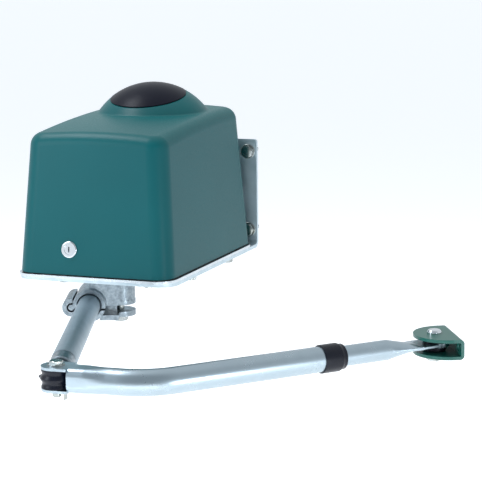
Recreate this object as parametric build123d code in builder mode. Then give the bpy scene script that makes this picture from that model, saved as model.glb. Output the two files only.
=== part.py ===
from build123d import *
from math import cos, radians, sin, sqrt, tan
import os

# A swing gate opener with an articulated arm, in millimetres.
# The origin is the middle of the four post bolts, on the back face of the wall plate.
# +Y points into the post, the cover's front looks along -Y, +X is to the right and +Z is up.

# Mounting bracket: a folded shelf with an upright plate for the post
sheet = 5.0
bracket_width = 226.0
post_bolts_x = 200.0
post_bolts_z = 115.0
plate_rise = 75.0
shelf_drop = 83.0
shelf_reach = 327.0
bend_inside = 6.0
plate_corner = 4.0
shelf_corner = 24.0

# Hex bolts: shank size, size across the flats and head height
m8_shank, m8_flats, m8_head = 8.0, 13.0, 5.5
m10_shank, m10_flats, m10_head = 10.0, 17.0, 6.4
m10_thread = 9.6
washer_thick = 2.0
washer_m10 = 21.0
post_grip = 28.0
thread_lead = 1.0

# Base tray and cover seal
tray_thick = 3.5
tray_margin = 3.0
kerb_height = 6.0
kerb_thick = 2.0
seal_thick = 1.5
seal_width = 7.0
seal_inset = 1.2

# Cover: a moulded shell with drafted walls, a crowned roof and a round dome
cover_gap = 10.0
cover_width = 220.0
cover_depth = 315.0
cover_wall = 3.0
corner_radius = 24.0
side_draft = 3.8
front_draft = 5.0
rear_draft = 4.1
roof_front = 182.5
roof_middle = 197.5
roof_rear = 201.4
roof_overrun = 5.0
wall_overrun = 38.6
crown_radius = 970.0
crown_half_sweep = 10.0
roof_round = 18.0
dome_radius = 94.0
dome_rise = 35.8
dome_rear = 27.2
dome_foot = 5.0
dome_root = 2.0
cap_tilt = 12.5
cap_depth = 17.0
cap_thick = 2.4
cap_gap = 0.3
cap_proud = 0.4
cap_edge = 0.8

# Cam lock in the cover's front
lock_x = -31.0
lock_height = 33.4
lock_head = 22.4
lock_rim = 2.4
lock_edge = 1.6
lock_barrel = 18.0
lock_length = 20.0
lock_nut_flats = 22.0
lock_nut_height = 4.0
plug_size = 13.0
plug_recess = 0.6
plug_tail = 6.0
key_slot_height = 8.0
key_slot_width = 2.0
key_slot_depth = 9.0
cam_gap = 0.5
cam_reach = 24.0
cam_width = 13.0
cam_thick = 3.0
catch_plate = 2.5
catch_width = 20.0
catch_side_gap = 8.0
catch_back_gap = 1.5
catch_lip_gap = 1.5
catch_lip = 14.0
catch_foot = 16.0

# Clearances: around turning parts, beside moving parts, and between parts that pass
turn_gap = 0.05
run_gap = 0.3
end_gap = 0.2

# Output shaft, gearbox and motor
shaft_from_front = 91.0
shaft_size = 25.0
shaft_top_size = 20.0
shaft_stem = 12.0
shaft_stem_length = 18.0
shaft_below_tube = 3.0
shaft_thread_depth = 26.0
gear_centre = 57.5
gear_height = 44.0
wheel_radius = 47.0
wheel_width = 16.0
wheel_rim = 9.0
wheel_hub = 20.0
wheel_recess = 3.0
worm_radius = 10.0
worm_length = 52.0
casing_radius = 60.0
casing_height = 70.0
cavity_radius = 51.0
chamber_radius = 20.0
chamber_front = 46.0
chamber_rear = 62.0
chamber_end = 4.0
base_width = 144.0
base_depth = 108.0
base_thick = 8.0
base_corner = 10.0
rib_thick = 5.0
rib_reach = 7.0
rib_drop = 12.0
rib_count = 4
rib_first = 120.0
rib_sweep = 120.0
gearbox_bolts_x = 124.0
gearbox_bolts_y = 88.0
lid_thick = 6.0
lid_boss = 52.0
lid_boss_height = 12.0
lid_screw_ring = 55.0
lid_screw_count = 6
lid_screw = 5.0
lid_screw_head = 9.0
lid_screw_head_height = 5.0
lid_screw_depth = 14.0
bearing_wide = 12.0
bearing_size = 42.0
seal_ring = 40.0
seal_ring_height = 7.0
motor_size = 76.0
motor_wall = 3.0
motor_length = 112.0
motor_flange = 80.0
motor_flange_thick = 8.0
motor_cap = 9.0
motor_cap_plug = 4.0
motor_cap_draft = 8.0
spindle_size = 10.0
spindle_bearing = 24.0
spindle_bearing_wide = 8.0
rotor_size = 48.0
rotor_start = 18.0
rotor_length = 74.0
boss_size = 52.0

# Limit cams on the shaft's stem, with their two switches
limit_cam_size = 24.0
limit_lobe_out = 10.0
limit_lobe_size = 12.0
limit_cam_thick = 5.0
limit_cam_stand = 3.2
limit_cam_pitch = 8.0
limit_cam_turns = (40.0, 215.0)
switch_x = 30.0
switch_plate = 1.5
switch_plate_width = 20.0
switch_foot = 16.0
switch_body = 8.0
switch_height = 6.0
switch_roller = 3.0
switch_roller_width = 10.0

# Release lever on a pin in the gearbox lid
release_x = -36.0
release_from_shaft = 22.0
release_pin = 8.0
release_pin_head = 14.0
release_stand = 6.0
release_reach = 44.0
release_arm_width = 14.0
release_arm_thick = 5.0
release_hub = 16.0
release_hub_height = 6.0
release_knob = 18.0
release_knob_height = 16.0
release_knob_draft = 4.0

# Transformer, capacitor and control board on a folded carrier
wound_x = -58.0
core_width = 24.0
core_depth = 50.0
core_height = 48.0
winding_width = 46.0
winding_depth = 36.0
winding_height = 30.0
winding_corner = 5.0
core_base_width = 44.0
core_base_depth = 60.0
core_base_thick = 3.0
transformer_y = -99.0
capacitor_y = -153.0
capacitor_size = 40.0
capacitor_height = 70.0
capacitor_edge = 3.0
capacitor_pole = 12.0
capacitor_pole_height = 8.0
carrier_left = -92.0
carrier_right = 14.0
carrier_front = -170.0
carrier_rear = -48.0
carrier_height = 104.0
carrier_plate = 2.0
carrier_foot = 10.0
post_size = 6.0
post_height = 8.0
post_inset = 5.0
board_inset = 3.0
board_thick = 1.6
relay = (28.0, 13.0, 16.0)
relay_places = ((-30.0, -36.0), (-30.0, -16.0), (-30.0, 10.0))
supply_block = (30.0, 22.0, 22.0)
supply_place = (12.0, -36.0)
chip_block = (15.0, 15.0, 4.0)
chip_place = (14.0, 8.0)
board_capacitor = 18.0
board_capacitor_height = 22.0
board_capacitor_y = -10.0
terminal_length = 84.0
terminal_width = 14.0
terminal_count = 10
terminal_pitch = 8.0
terminal_screw = 4.4

# Plates under the shelf, and the bolts beside the gearbox
under_plate = 4.0
under_width = 206.0
front_plate_length = 118.0
rear_plate_length = 122.0
rear_plate_from_wall = 30.0
plate_corner_under = 6.0
plate_bolts_x = 192.0
front_bolts_from_shaft = 21.0
rear_bolts_y = -83.0

# Cable gland
gland_x = -62.0
gland_y = -52.0
gland_thread = 20.0
gland_hex = 24.0
gland_nut_hex = 26.0
gland_nut_height = 5.0
gland_dome = 22.0
gland_dome_height = 8.0
gland_taper = 12.0
gland_stand = 8.0
gland_bore = 10.0

# Crank: a clamp casting on the shaft, and a straight tube that points to the right front
crank_turn = 20.3
crank_length = 416.0
clamp_offset = 39.0
tube_size = 30.0
tube_wall = 2.5
tube_drop = 49.0
tube_tail = 8.0
clamp_front = 40.0
clamp_back = 28.0
clamp_wall = 7.0
web_front = 30.0
web_back = 24.0
mouth_length = 6.0
mouth_flare = 15.0
hub_size = 40.0
hub_gap = 2.0
flange_size = 41.0
flange_thick = 6.0
flange_below_tube = 4.0
flange_gap = 9.0
strap_thick = 7.0
strap_top = 6.5
hook_inside = 6.2
hook_wall = 6.0
hook_opening = 2.0
hook_mouth = 7.5
bead_size = 8.0
bead_out = 24.0
bead_drop = 2.2
clamp_bolt_reach = 20.0

# Elbow: eye fitting, bearing shell, sleeve, bolt and retaining clip
ring_from_elbow = 69.0
shoulder_from_elbow = 37.0
eye_plug = 40.0
eye_step = 0.5
eye_shoulder_edge = 1.5
eye_radius = 13.0
eye_thick = 14.0
tongue_width = 20.0
shell_radius = 17.2
nose_reach = 21.6
nose_height = 11.0
nose_width = 10.0
sleeve_size = 16.0
ear_radius = 17.2
ear_thick = 3.0
fork_height = 28.0
fork_width = 33.0
fork_corner = 9.0
fork_start = 18.6
fork_flat = 37.0
fork_taper = 27.0
clip_width = 8.5
clip_thick = 1.2
clip_drop = 10.5
clip_reach = 11.0
elbow_bolt_end = 8.0
elbow_flange = 20.0
elbow_flange_thick = 1.6
elbow_flats = 15.0
elbow_head = 3.8

# Second arm: a bent outer tube, a plastic collar and an inner tube that slides in it
arm_turn = 2.7
arm_bend = 46.0
first_run = 107.7
bend_radius = 75.0
collar_from_corner = 218.1
collar_length = 29.6
collar_lip = 7.5
collar_step = 4.0
collar_wall = 1.7
inner_size = 24.0
inner_wall = 2.0
slide_gap = 0.08
inner_overlap = 130.0
pin_from_corner = 377.3
blade_width = 36.0
blade_thick = 4.6
blade_flat = 26.0
blade_taper = 42.0
blade_edge = 1.5

# Gate bracket: a channel with two rounded ears
bracket_turn = -62.0
bracket_sheet = 4.0
bracket_height = 24.0
ear_length = 80.0
ear_reach = 25.0
web_from_pin = 26.5
web_bend = 5.0
bush_size = 28.0
bush_spigot = 14.0
dome_head = 17.0
dome_head_height = 5.0
dome_head_round = 3.5
gate_nut_height = 8.0
gate_bolt_end = 3.0
gate_hole = 9.0
gate_holes_apart = 50.0

# Levels, worked out from the shelf upwards and downwards
shelf_bottom = -shelf_drop
shelf_top = shelf_bottom + sheet
tray_top = shelf_top + tray_thick
cover_bottom = tray_top + seal_thick
under_bottom = shelf_bottom - under_plate
tube_z = cover_bottom - tube_drop
gear_z = tray_top + gear_height
cavity_floor = gear_z - wheel_width / 2 - wheel_recess
casing_top = tray_top + casing_height
lid_face = casing_top + lid_thick
lid_top = lid_face + lid_boss_height
release_z = lid_face + release_stand
carrier_top = tray_top + carrier_height + carrier_plate
board_top = carrier_top + post_height + board_thick
flange_bottom = tube_z - flange_below_tube
strap_flange_top = flange_bottom - flange_gap
strap_flange_bottom = strap_flange_top - strap_thick

# Places along Y, worked out from the wall plate forwards
cover_rear = -(sheet + cover_gap)
cover_front = cover_rear - cover_depth
cover_middle = (cover_front + cover_rear) / 2
shaft_y = cover_front + shaft_from_front
motor_start = shaft_y + chamber_rear
release_y = shaft_y - release_from_shaft

# Places of the dome, its cap and the lock
dome_reach = sqrt(dome_radius ** 2 - (dome_radius - dome_rise) ** 2)
dome_z = cover_bottom + roof_rear + dome_rise - dome_radius
dome_centre = Vector(0, cover_rear - dome_rear - dome_reach, dome_z)
dome_plane = Plane(origin=dome_centre, x_dir=(1, 0, 0), z_dir=(0, -1, 0))
dome_axis = Axis(dome_centre, (0, 0, 1))
cap_up = Vector(0, -sin(radians(cap_tilt)), cos(radians(cap_tilt)))
cap_plane = Plane(origin=dome_centre, x_dir=(1, 0, 0), z_dir=(0, -cap_up.Z, cap_up.Y))
cap_axis = Axis(dome_centre, cap_up)
cap_level = dome_radius - cap_depth
lock_lean = radians(front_draft)
lock_plane = Plane(origin=(lock_x, cover_front + lock_height * tan(lock_lean), cover_bottom + lock_height),
                   x_dir=(1, 0, 0), z_dir=(0, -cos(lock_lean), sin(lock_lean)))

# The carrier's size and the middle of its board
carrier_width = carrier_right - carrier_left
carrier_length = carrier_rear - carrier_front
board_centre = ((carrier_left + carrier_right) / 2, (carrier_front + carrier_rear) / 2)

# Places and directions of the crank, seen from above
along_crank = Vector(sin(radians(crank_turn)), -cos(radians(crank_turn)), 0)
across_crank = Vector(cos(radians(crank_turn)), sin(radians(crank_turn)), 0)
shaft_foot = Vector(0, shaft_y, tube_z)
tube_foot = shaft_foot - across_crank * clamp_offset
tube_axis = Axis(tube_foot, along_crank)
tube_plane = Plane(origin=tube_foot, x_dir=across_crank, z_dir=along_crank)
elbow = tube_foot + along_crank * crank_length
elbow_plane = Plane(origin=elbow, x_dir=along_crank, z_dir=(0, 0, 1))

# Room between the fork's ears, and half the height of the bearing shell in it
fork_gap = fork_height - 2 * ear_thick
shell_half = fork_gap / 2 - end_gap

# Places and directions of the second arm and the gate bracket
along_arm = Vector(cos(radians(arm_turn)), sin(radians(arm_turn)), 0)
arm_plane = Plane(origin=elbow, x_dir=along_arm, z_dir=(0, 0, 1))
reach_turn = arm_turn + arm_bend
along_reach = Vector(cos(radians(reach_turn)), sin(radians(reach_turn)), 0)
across_reach = Vector(sin(radians(reach_turn)), -cos(radians(reach_turn)), 0)
arm_corner = elbow + along_arm * first_run
reach_axis = Axis(arm_corner, along_reach)
reach_side = Plane(origin=arm_corner, x_dir=along_reach, z_dir=across_reach)
gate_pin = arm_corner + along_reach * pin_from_corner
blade_plane = Plane(origin=gate_pin, x_dir=along_reach, z_dir=(0, 0, 1))
along_web = Vector(cos(radians(bracket_turn)), sin(radians(bracket_turn)), 0)
bracket_plane = Plane(origin=gate_pin, x_dir=along_web, z_dir=(0, 0, 1))
web_plane = Plane(origin=gate_pin + bracket_plane.y_dir * web_from_pin, x_dir=along_web,
                  z_dir=bracket_plane.y_dir)

os.makedirs("parts", exist_ok=True)


def save(piece, name):
    piece.part.label = name
    export_step(piece.part, "parts/" + name + ".step")


def level(z):
    """A level plane through the part's own origin."""
    return Plane.XY.offset(z)


def on_shaft(z):
    """A level plane with the output shaft's axis at its middle."""
    return Plane((0, shaft_y, z))


def along_tube(distance):
    """A plane across the crank tube, with its local y upwards."""
    return tube_plane.offset(distance)


def along_motor(distance):
    """A plane across the worm and motor axis, counted from the motor's mounting face."""
    return Plane(origin=(gear_centre, motor_start + distance, gear_z), x_dir=(1, 0, 0), z_dir=(0, 1, 0))


def across_arm(distance):
    """A plane across the second arm beside the elbow, with its local y upwards."""
    return Plane(origin=elbow + along_arm * distance, x_dir=(-along_arm.Y, along_arm.X, 0), z_dir=along_arm)


def before_pin(distance):
    """A plane across the inner tube, at a distance before the gate pin, with its local y upwards."""
    return Plane(origin=gate_pin - along_reach * distance, x_dir=-across_reach, z_dir=along_reach)


def footprint(margin, mode=Mode.ADD):
    """The cover's rounded outline at its lower edge, grown by a margin."""
    with Locations((0, cover_middle)):
        RectangleRounded(cover_width + 2 * margin, cover_depth + 2 * margin, corner_radius + margin,
                         mode=mode)


def gearbox_bolt_grid():
    return GridLocations(gearbox_bolts_x, gearbox_bolts_y, 2, 2)


def shelf_holes(mode=Mode.ADD):
    """Openings that the tray, the shelf and the plates below share: boss, bolts and gland."""
    with Locations((0, shaft_y)):
        Circle(boss_size / 2, mode=mode)
        with gearbox_bolt_grid():
            Circle(m8_shank / 2, mode=mode)
    with Locations(*plate_bolt_places()):
        Circle(m8_shank / 2, mode=mode)
    with Locations((gland_x, gland_y)):
        Circle(gland_thread / 2, mode=mode)


def plate_bolt_places():
    rows = (shaft_y + front_bolts_from_shaft, rear_bolts_y)
    return [(side * plate_bolts_x / 2, y) for side in (-1, 1) for y in rows]


def hex_head(plane, flats, height):
    """A hexagon prism on a plane, growing along its normal."""
    with BuildSketch(plane) as hexagon:
        RegularPolygon(flats / 2, 6, major_radius=False)
    extrude(hexagon.sketch, amount=height)


# Mounting bracket: one folded sheet, shelf below and wall plate behind
def mounting_bracket():
    bend_outside = bend_inside + sheet
    with BuildPart() as piece:
        with BuildSketch(Plane.YZ):
            with BuildLine():
                outer = Line((0, plate_rise), (0, shelf_bottom + bend_outside))
                knee = RadiusArc(outer @ 1, (-bend_outside, shelf_bottom), bend_outside)
                base = Polyline(knee @ 1, (-shelf_reach, shelf_bottom), (-shelf_reach, shelf_top),
                                (-bend_outside, shelf_top))
                inside = RadiusArc(base @ 1, (-sheet, shelf_bottom + bend_outside), -bend_inside)
                Polyline(inside @ 1, (-sheet, plate_rise), (0, plate_rise))
            make_face()
        extrude(amount=bracket_width / 2, both=True)
        fillet(piece.edges().filter_by(Axis.Z).group_by(Axis.Y)[0], shelf_corner)
        fillet(piece.edges().filter_by(Axis.Y).group_by(Axis.Z)[-1], plate_corner)
        with BuildSketch(Plane.XZ):
            with GridLocations(post_bolts_x, post_bolts_z, 2, 2):
                Circle(m10_shank / 2)
        extrude(amount=sheet, mode=Mode.SUBTRACT)
        with BuildSketch(level(shelf_bottom)):
            shelf_holes()
        extrude(amount=sheet, mode=Mode.SUBTRACT)
    save(piece, "mounting_bracket")


# Post bolts and washers: the shanks stand out behind the wall plate
def post_washers():
    with BuildPart() as piece:
        with BuildSketch(Plane.XZ.offset(sheet)):
            with GridLocations(post_bolts_x, post_bolts_z, 2, 2):
                Circle(washer_m10 / 2)
                Circle(m10_shank / 2, mode=Mode.SUBTRACT)
        extrude(amount=washer_thick)
    save(piece, "post_washers")


def post_bolts():
    under_head = sheet + washer_thick
    with BuildPart() as piece:
        with BuildSketch(Plane.XZ.offset(under_head)):
            with GridLocations(post_bolts_x, post_bolts_z, 2, 2):
                Circle(m10_shank / 2)
        extrude(amount=-under_head)
        with BuildSketch(Plane.XZ):
            with GridLocations(post_bolts_x, post_bolts_z, 2, 2):
                Circle(m10_thread / 2)
        extrude(amount=-post_grip)
        chamfer(piece.edges().filter_by(GeomType.CIRCLE).group_by(Axis.Y)[-1], thread_lead)
        with BuildSketch(Plane.XZ.offset(under_head)):
            with GridLocations(post_bolts_x, post_bolts_z, 2, 2):
                RegularPolygon(m10_flats / 2, 6, major_radius=False)
        extrude(amount=m10_head)
    save(piece, "post_bolts")


# Base tray that carries the gearbox, with a kerb inside the cover's wall
def base_tray():
    kerb_margin = -(seal_inset + seal_width + run_gap)
    with BuildPart() as piece:
        with BuildSketch(level(shelf_top)):
            footprint(tray_margin)
            shelf_holes(Mode.SUBTRACT)
        extrude(amount=tray_thick)
        with BuildSketch(level(tray_top)):
            footprint(kerb_margin)
            footprint(kerb_margin - kerb_thick, Mode.SUBTRACT)
        extrude(amount=kerb_height)
    save(piece, "base_tray")


def cover_seal():
    with BuildPart() as piece:
        with BuildSketch(level(tray_top)):
            footprint(-seal_inset)
            footprint(-(seal_inset + seal_width), Mode.SUBTRACT)
        extrude(amount=seal_thick)
    save(piece, "cover_seal")


# Stiffening plates bolted up against the shelf
def stiffener(middle_y, length, name):
    with BuildPart() as piece:
        with BuildSketch(level(under_bottom)):
            with Locations((0, middle_y)):
                RectangleRounded(under_width, length, plate_corner_under)
            shelf_holes(Mode.SUBTRACT)
        extrude(amount=under_plate)
    save(piece, name)


def plate_bolts():
    with BuildPart() as piece:
        for x, y in plate_bolt_places():
            with BuildSketch(Plane((x, y, under_bottom))):
                Circle(m8_shank / 2)
            extrude(amount=tray_top - under_bottom)
            hex_head(Plane((x, y, under_bottom), z_dir=(0, 0, -1)), m8_flats, m8_head)
    save(piece, "plate_bolts")


def gearbox_bolts():
    with BuildPart() as piece:
        with BuildSketch(on_shaft(under_bottom)):
            with gearbox_bolt_grid():
                Circle(m8_shank / 2)
        extrude(amount=tray_top + base_thick - under_bottom)
        with BuildSketch(on_shaft(under_bottom)):
            with gearbox_bolt_grid():
                RegularPolygon(m8_flats / 2, 6, major_radius=False)
        extrude(amount=-m8_head)
    save(piece, "gearbox_bolts")


# Cable gland below the shelf, open right through
def cable_gland():
    with BuildPart() as piece:
        hex_head(Plane((gland_x, gland_y, under_bottom), z_dir=(0, 0, -1)), gland_hex, gland_nut_height)
        with BuildSketch(Plane((gland_x, gland_y, under_bottom - gland_nut_height), z_dir=(0, 0, -1))):
            Circle(gland_dome / 2)
        extrude(amount=gland_dome_height, taper=gland_taper)
        with BuildSketch(Plane((gland_x, gland_y, under_bottom))):
            Circle(gland_thread / 2)
        extrude(amount=tray_top + gland_stand - under_bottom)
        with BuildSketch(Plane((gland_x, gland_y, under_bottom - gland_nut_height - gland_dome_height))):
            Circle(gland_bore / 2)
        extrude(until=Until.LAST, mode=Mode.SUBTRACT)
    save(piece, "cable_gland")


def gland_nut():
    with BuildPart() as piece:
        hex_head(Plane((gland_x, gland_y, tray_top)), gland_nut_hex, gland_nut_height)
        with BuildSketch(Plane((gland_x, gland_y, tray_top))):
            Circle(gland_thread / 2)
        extrude(amount=gland_nut_height, mode=Mode.SUBTRACT)
    save(piece, "gland_nut")


# Cover: drafted walls under a crowned roof that rises towards the rear
def cover_form(inset):
    """The cover's outer form, or its inner form when it is inset by the wall."""
    draft_height = roof_rear + wall_overrun
    top_front = cover_front + draft_height * tan(radians(front_draft))
    top_rear = cover_rear - draft_height * tan(radians(rear_draft))
    top_width = cover_width - 2 * draft_height * tan(radians(side_draft))
    crown_centre = cover_bottom + roof_rear - crown_radius
    tilt = radians(crown_half_sweep)
    crown_plane = Plane(origin=(0, 0, crown_centre), x_dir=(0, 1, 0), z_dir=(cos(tilt), 0, sin(tilt)))
    base = crown_radius - roof_rear - inset
    front_end = cover_front - roof_overrun
    rear_end = cover_rear + roof_overrun
    with BuildPart() as form:
        with BuildSketch(level(cover_bottom)):
            footprint(-inset)
        with BuildSketch(level(cover_bottom + draft_height)):
            with Locations((0, (top_front + top_rear) / 2)):
                RectangleRounded(top_width - 2 * inset, top_rear - top_front - 2 * inset,
                                 corner_radius - inset)
        loft()
        with BuildSketch(crown_plane):
            with BuildLine():
                lead = Line((front_end, base + roof_front), (cover_front, base + roof_front))
                roof = ThreePointArc(lead @ 1, (cover_middle, base + roof_middle),
                                     (cover_rear, base + roof_rear))
                Polyline(roof @ 1, (rear_end, base + roof_rear), (rear_end, base - roof_overrun),
                         (front_end, base - roof_overrun), lead @ 0)
            make_face()
        revolve(axis=Axis((0, 0, crown_centre), (0, 1, 0)), revolution_arc=2 * crown_half_sweep,
                mode=Mode.INTERSECT)
        fillet(form.faces().sort_by(Axis.Z)[-1].edges(), roof_round - inset)
    return form.part


def above(size, low):
    """Keeps the right half of a round sketch above a height."""
    with Locations((size / 2, low + size / 2)):
        Rectangle(size, size, mode=Mode.INTERSECT)


def dome(radius, mode):
    """The top of a sphere, rooted a little under the lowest edge of the roof."""
    with BuildSketch(dome_plane) as quarter:
        Circle(radius)
        above(radius, cover_bottom + roof_front + dome_root - dome_centre.Z)
    revolve(quarter.sketch, axis=dome_axis, mode=mode)


def cap_disc(inside, outside, low, mode=Mode.ADD):
    """The space between two spheres, above a plane that is tilted to the front."""
    with BuildSketch(cap_plane) as slice_of_cap:
        Circle(outside)
        Circle(inside, mode=Mode.SUBTRACT)
        above(outside, low)
    revolve(slice_of_cap.sketch, axis=cap_axis, mode=mode)


def cover():
    outside = cover_form(0)
    inside = cover_form(cover_wall)
    cap_seat = dome_radius - cap_thick
    with BuildPart() as piece:
        add(outside)
        dome(dome_radius, Mode.ADD)
        fillet(piece.edges(Select.NEW), dome_foot)
        add(inside, mode=Mode.SUBTRACT)
        dome(cap_seat - cover_wall, Mode.SUBTRACT)
        cap_disc(cap_seat, dome_radius + cap_thick, cap_level - cap_gap, Mode.SUBTRACT)
        with BuildSketch(lock_plane):
            Circle(lock_barrel / 2)
        extrude(amount=lock_length / 2, both=True, mode=Mode.SUBTRACT)
    save(piece, "cover")


def dome_cap():
    with BuildPart() as piece:
        cap_disc(dome_radius - cap_thick, dome_radius + cap_proud, cap_level)
        fillet(piece.edges().filter_by(GeomType.CIRCLE).sort_by(SortBy.LENGTH)[-1], cap_edge)
    save(piece, "dome_cap")


# Cam lock: body, nut, turning plug, cam and the catch that the cam turns under
def lock_body():
    with BuildPart() as piece:
        with BuildSketch(lock_plane):
            Circle(lock_head / 2)
        extrude(amount=lock_rim)
        fillet(piece.edges().filter_by(GeomType.CIRCLE).sort_by(Axis.Y)[0], lock_edge)
        with BuildSketch(lock_plane):
            Circle(lock_barrel / 2)
        extrude(amount=-lock_length)
        with BuildSketch(lock_plane.offset(lock_rim)):
            Circle(plug_size / 2 + turn_gap)
        extrude(amount=-lock_length - lock_rim, mode=Mode.SUBTRACT)
    save(piece, "lock_body")


def lock_nut():
    with BuildPart() as piece:
        with BuildSketch(lock_plane.offset(-cover_wall)):
            RegularPolygon(lock_nut_flats / 2, 6, major_radius=False)
            Circle(lock_barrel / 2, mode=Mode.SUBTRACT)
        extrude(amount=-lock_nut_height)
    save(piece, "lock_nut")


def lock_plug():
    face = lock_rim - plug_recess
    with BuildPart() as piece:
        with BuildSketch(lock_plane.offset(face)):
            Circle(plug_size / 2)
        extrude(amount=-face - lock_length - cam_gap)
        with BuildSketch(lock_plane.offset(-lock_length - cam_gap)):
            Rectangle(plug_tail, plug_tail)
        extrude(amount=-cam_thick)
        with BuildSketch(lock_plane.offset(face)):
            SlotOverall(key_slot_height, key_slot_width, rotation=90)
        extrude(amount=-key_slot_depth, mode=Mode.SUBTRACT)
    save(piece, "lock_plug")


def lock_cam():
    with BuildPart() as piece:
        with BuildSketch(lock_plane.offset(-lock_length - cam_gap)):
            with Locations((0, (cam_width / 2 - cam_reach) / 2)):
                SlotOverall(cam_reach + cam_width / 2, cam_width, rotation=90)
            Rectangle(plug_tail, plug_tail, mode=Mode.SUBTRACT)
        extrude(amount=-cam_thick)
    save(piece, "lock_cam")


def lock_catch():
    depth = lock_length + cam_gap + cam_thick
    cam_z = lock_plane.origin.Z - depth * sin(lock_lean)
    middle = lock_x + cam_width / 2 + catch_side_gap + catch_width / 2
    back = lock_plane.origin.Y + depth + catch_back_gap
    lip = cam_z + cam_width / 2 + catch_lip_gap
    with BuildPart() as piece:
        with BuildSketch(Plane.YZ.offset(middle)):
            with BuildLine():
                Polyline((back - catch_lip, lip), (back, lip), (back, tray_top + catch_plate),
                         (back - catch_foot, tray_top + catch_plate), (back - catch_foot, tray_top),
                         (back + catch_plate, tray_top), (back + catch_plate, lip + catch_plate),
                         (back - catch_lip, lip + catch_plate), close=True)
            make_face()
        extrude(amount=catch_width / 2, both=True)
    save(piece, "lock_catch")


# Gearbox casting: round wheel case, worm chamber beside it and a boss through the shelf
def gearbox_housing():
    chamber = -chamber_rear - chamber_front
    with BuildPart() as piece:
        with BuildSketch(on_shaft(tray_top)):
            RectangleRounded(base_width, base_depth, base_corner)
        extrude(amount=base_thick)
        with BuildSketch(on_shaft(tray_top)):
            Circle(casing_radius)
        extrude(amount=casing_height)
        with BuildSketch(along_motor(chamber)):
            Circle(chamber_radius)
        extrude(amount=chamber_front + chamber_rear)
        with BuildSketch(along_motor(0)):
            Circle(motor_flange / 2)
        extrude(amount=-motor_flange_thick)
        with BuildSketch(on_shaft(tray_top)):
            with PolarLocations(casing_radius, rib_count, rib_first, rib_sweep):
                Rectangle(2 * rib_reach, rib_thick)
        extrude(amount=casing_height - rib_drop)
        with BuildSketch(on_shaft(under_bottom)):
            Circle(boss_size / 2)
        extrude(amount=tray_top - under_bottom)
        with BuildSketch(on_shaft(cavity_floor)):
            Circle(cavity_radius)
        extrude(amount=casing_top - cavity_floor, mode=Mode.SUBTRACT)
        with BuildSketch(on_shaft(cavity_floor)):
            Circle(bearing_size / 2)
        extrude(amount=-bearing_wide, mode=Mode.SUBTRACT)
        with BuildSketch(on_shaft(under_bottom)):
            Circle(shaft_size / 2 + run_gap)
        extrude(amount=cavity_floor - under_bottom, mode=Mode.SUBTRACT)
        with BuildSketch(on_shaft(under_bottom)):
            Circle(seal_ring / 2)
        extrude(amount=seal_ring_height, mode=Mode.SUBTRACT)
        with BuildSketch(along_motor(0)):
            Circle(spindle_bearing / 2)
        extrude(amount=chamber + chamber_end, mode=Mode.SUBTRACT)
        with BuildSketch(on_shaft(casing_top)):
            with PolarLocations(lid_screw_ring, lid_screw_count):
                Circle(lid_screw / 2)
        extrude(amount=-lid_screw_depth, mode=Mode.SUBTRACT)
        with BuildSketch(on_shaft(tray_top)):
            with gearbox_bolt_grid():
                Circle(m8_shank / 2)
        extrude(amount=base_thick, mode=Mode.SUBTRACT)
    save(piece, "gearbox_housing")


def shaft_seal():
    with BuildPart() as piece:
        with BuildSketch(on_shaft(under_bottom)):
            Circle(seal_ring / 2)
            Circle(shaft_size / 2 + run_gap, mode=Mode.SUBTRACT)
        extrude(amount=seal_ring_height)
    save(piece, "shaft_seal")


def gearbox_lid():
    with BuildPart() as piece:
        with BuildSketch(on_shaft(casing_top)):
            Circle(casing_radius)
        extrude(amount=lid_thick)
        with BuildSketch(on_shaft(lid_face)):
            Circle(lid_boss / 2)
        extrude(amount=lid_boss_height)
        with BuildSketch(on_shaft(casing_top)):
            Circle(bearing_size / 2)
        extrude(amount=bearing_wide, mode=Mode.SUBTRACT)
        with BuildSketch(on_shaft(casing_top)):
            Circle(shaft_top_size / 2 + run_gap)
            with PolarLocations(lid_screw_ring, lid_screw_count):
                Circle(lid_screw / 2)
            with Locations((release_x, -release_from_shaft)):
                Circle(release_pin / 2)
        extrude(until=Until.LAST, mode=Mode.SUBTRACT)
    save(piece, "gearbox_lid")


def lid_screws():
    with BuildPart() as piece:
        with BuildSketch(on_shaft(casing_top - lid_screw_depth)):
            with PolarLocations(lid_screw_ring, lid_screw_count):
                Circle(lid_screw / 2)
        extrude(amount=lid_screw_depth + lid_thick)
        with BuildSketch(on_shaft(lid_face)):
            with PolarLocations(lid_screw_ring, lid_screw_count):
                Circle(lid_screw_head / 2)
        extrude(amount=lid_screw_head_height)
    save(piece, "lid_screws")


def bearing(plane, bore, outside, wide):
    """A shielded ball bearing, as one plain ring."""
    with BuildSketch(plane) as ring:
        Circle(outside / 2)
        Circle(bore / 2 + turn_gap, mode=Mode.SUBTRACT)
    extrude(ring.sketch, amount=wide)


def shaft_bearings():
    with BuildPart() as piece:
        bearing(on_shaft(cavity_floor - bearing_wide), shaft_size, bearing_size, bearing_wide)
        bearing(on_shaft(casing_top), shaft_top_size, bearing_size, bearing_wide)
    save(piece, "shaft_bearings")


def worm_bearings():
    front = along_motor(chamber_end - chamber_rear - chamber_front)
    rear = along_motor(-spindle_bearing_wide)
    with BuildPart() as piece:
        bearing(front, spindle_size, spindle_bearing, spindle_bearing_wide)
        bearing(rear, spindle_size, spindle_bearing, spindle_bearing_wide)
    save(piece, "worm_bearings")


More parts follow.
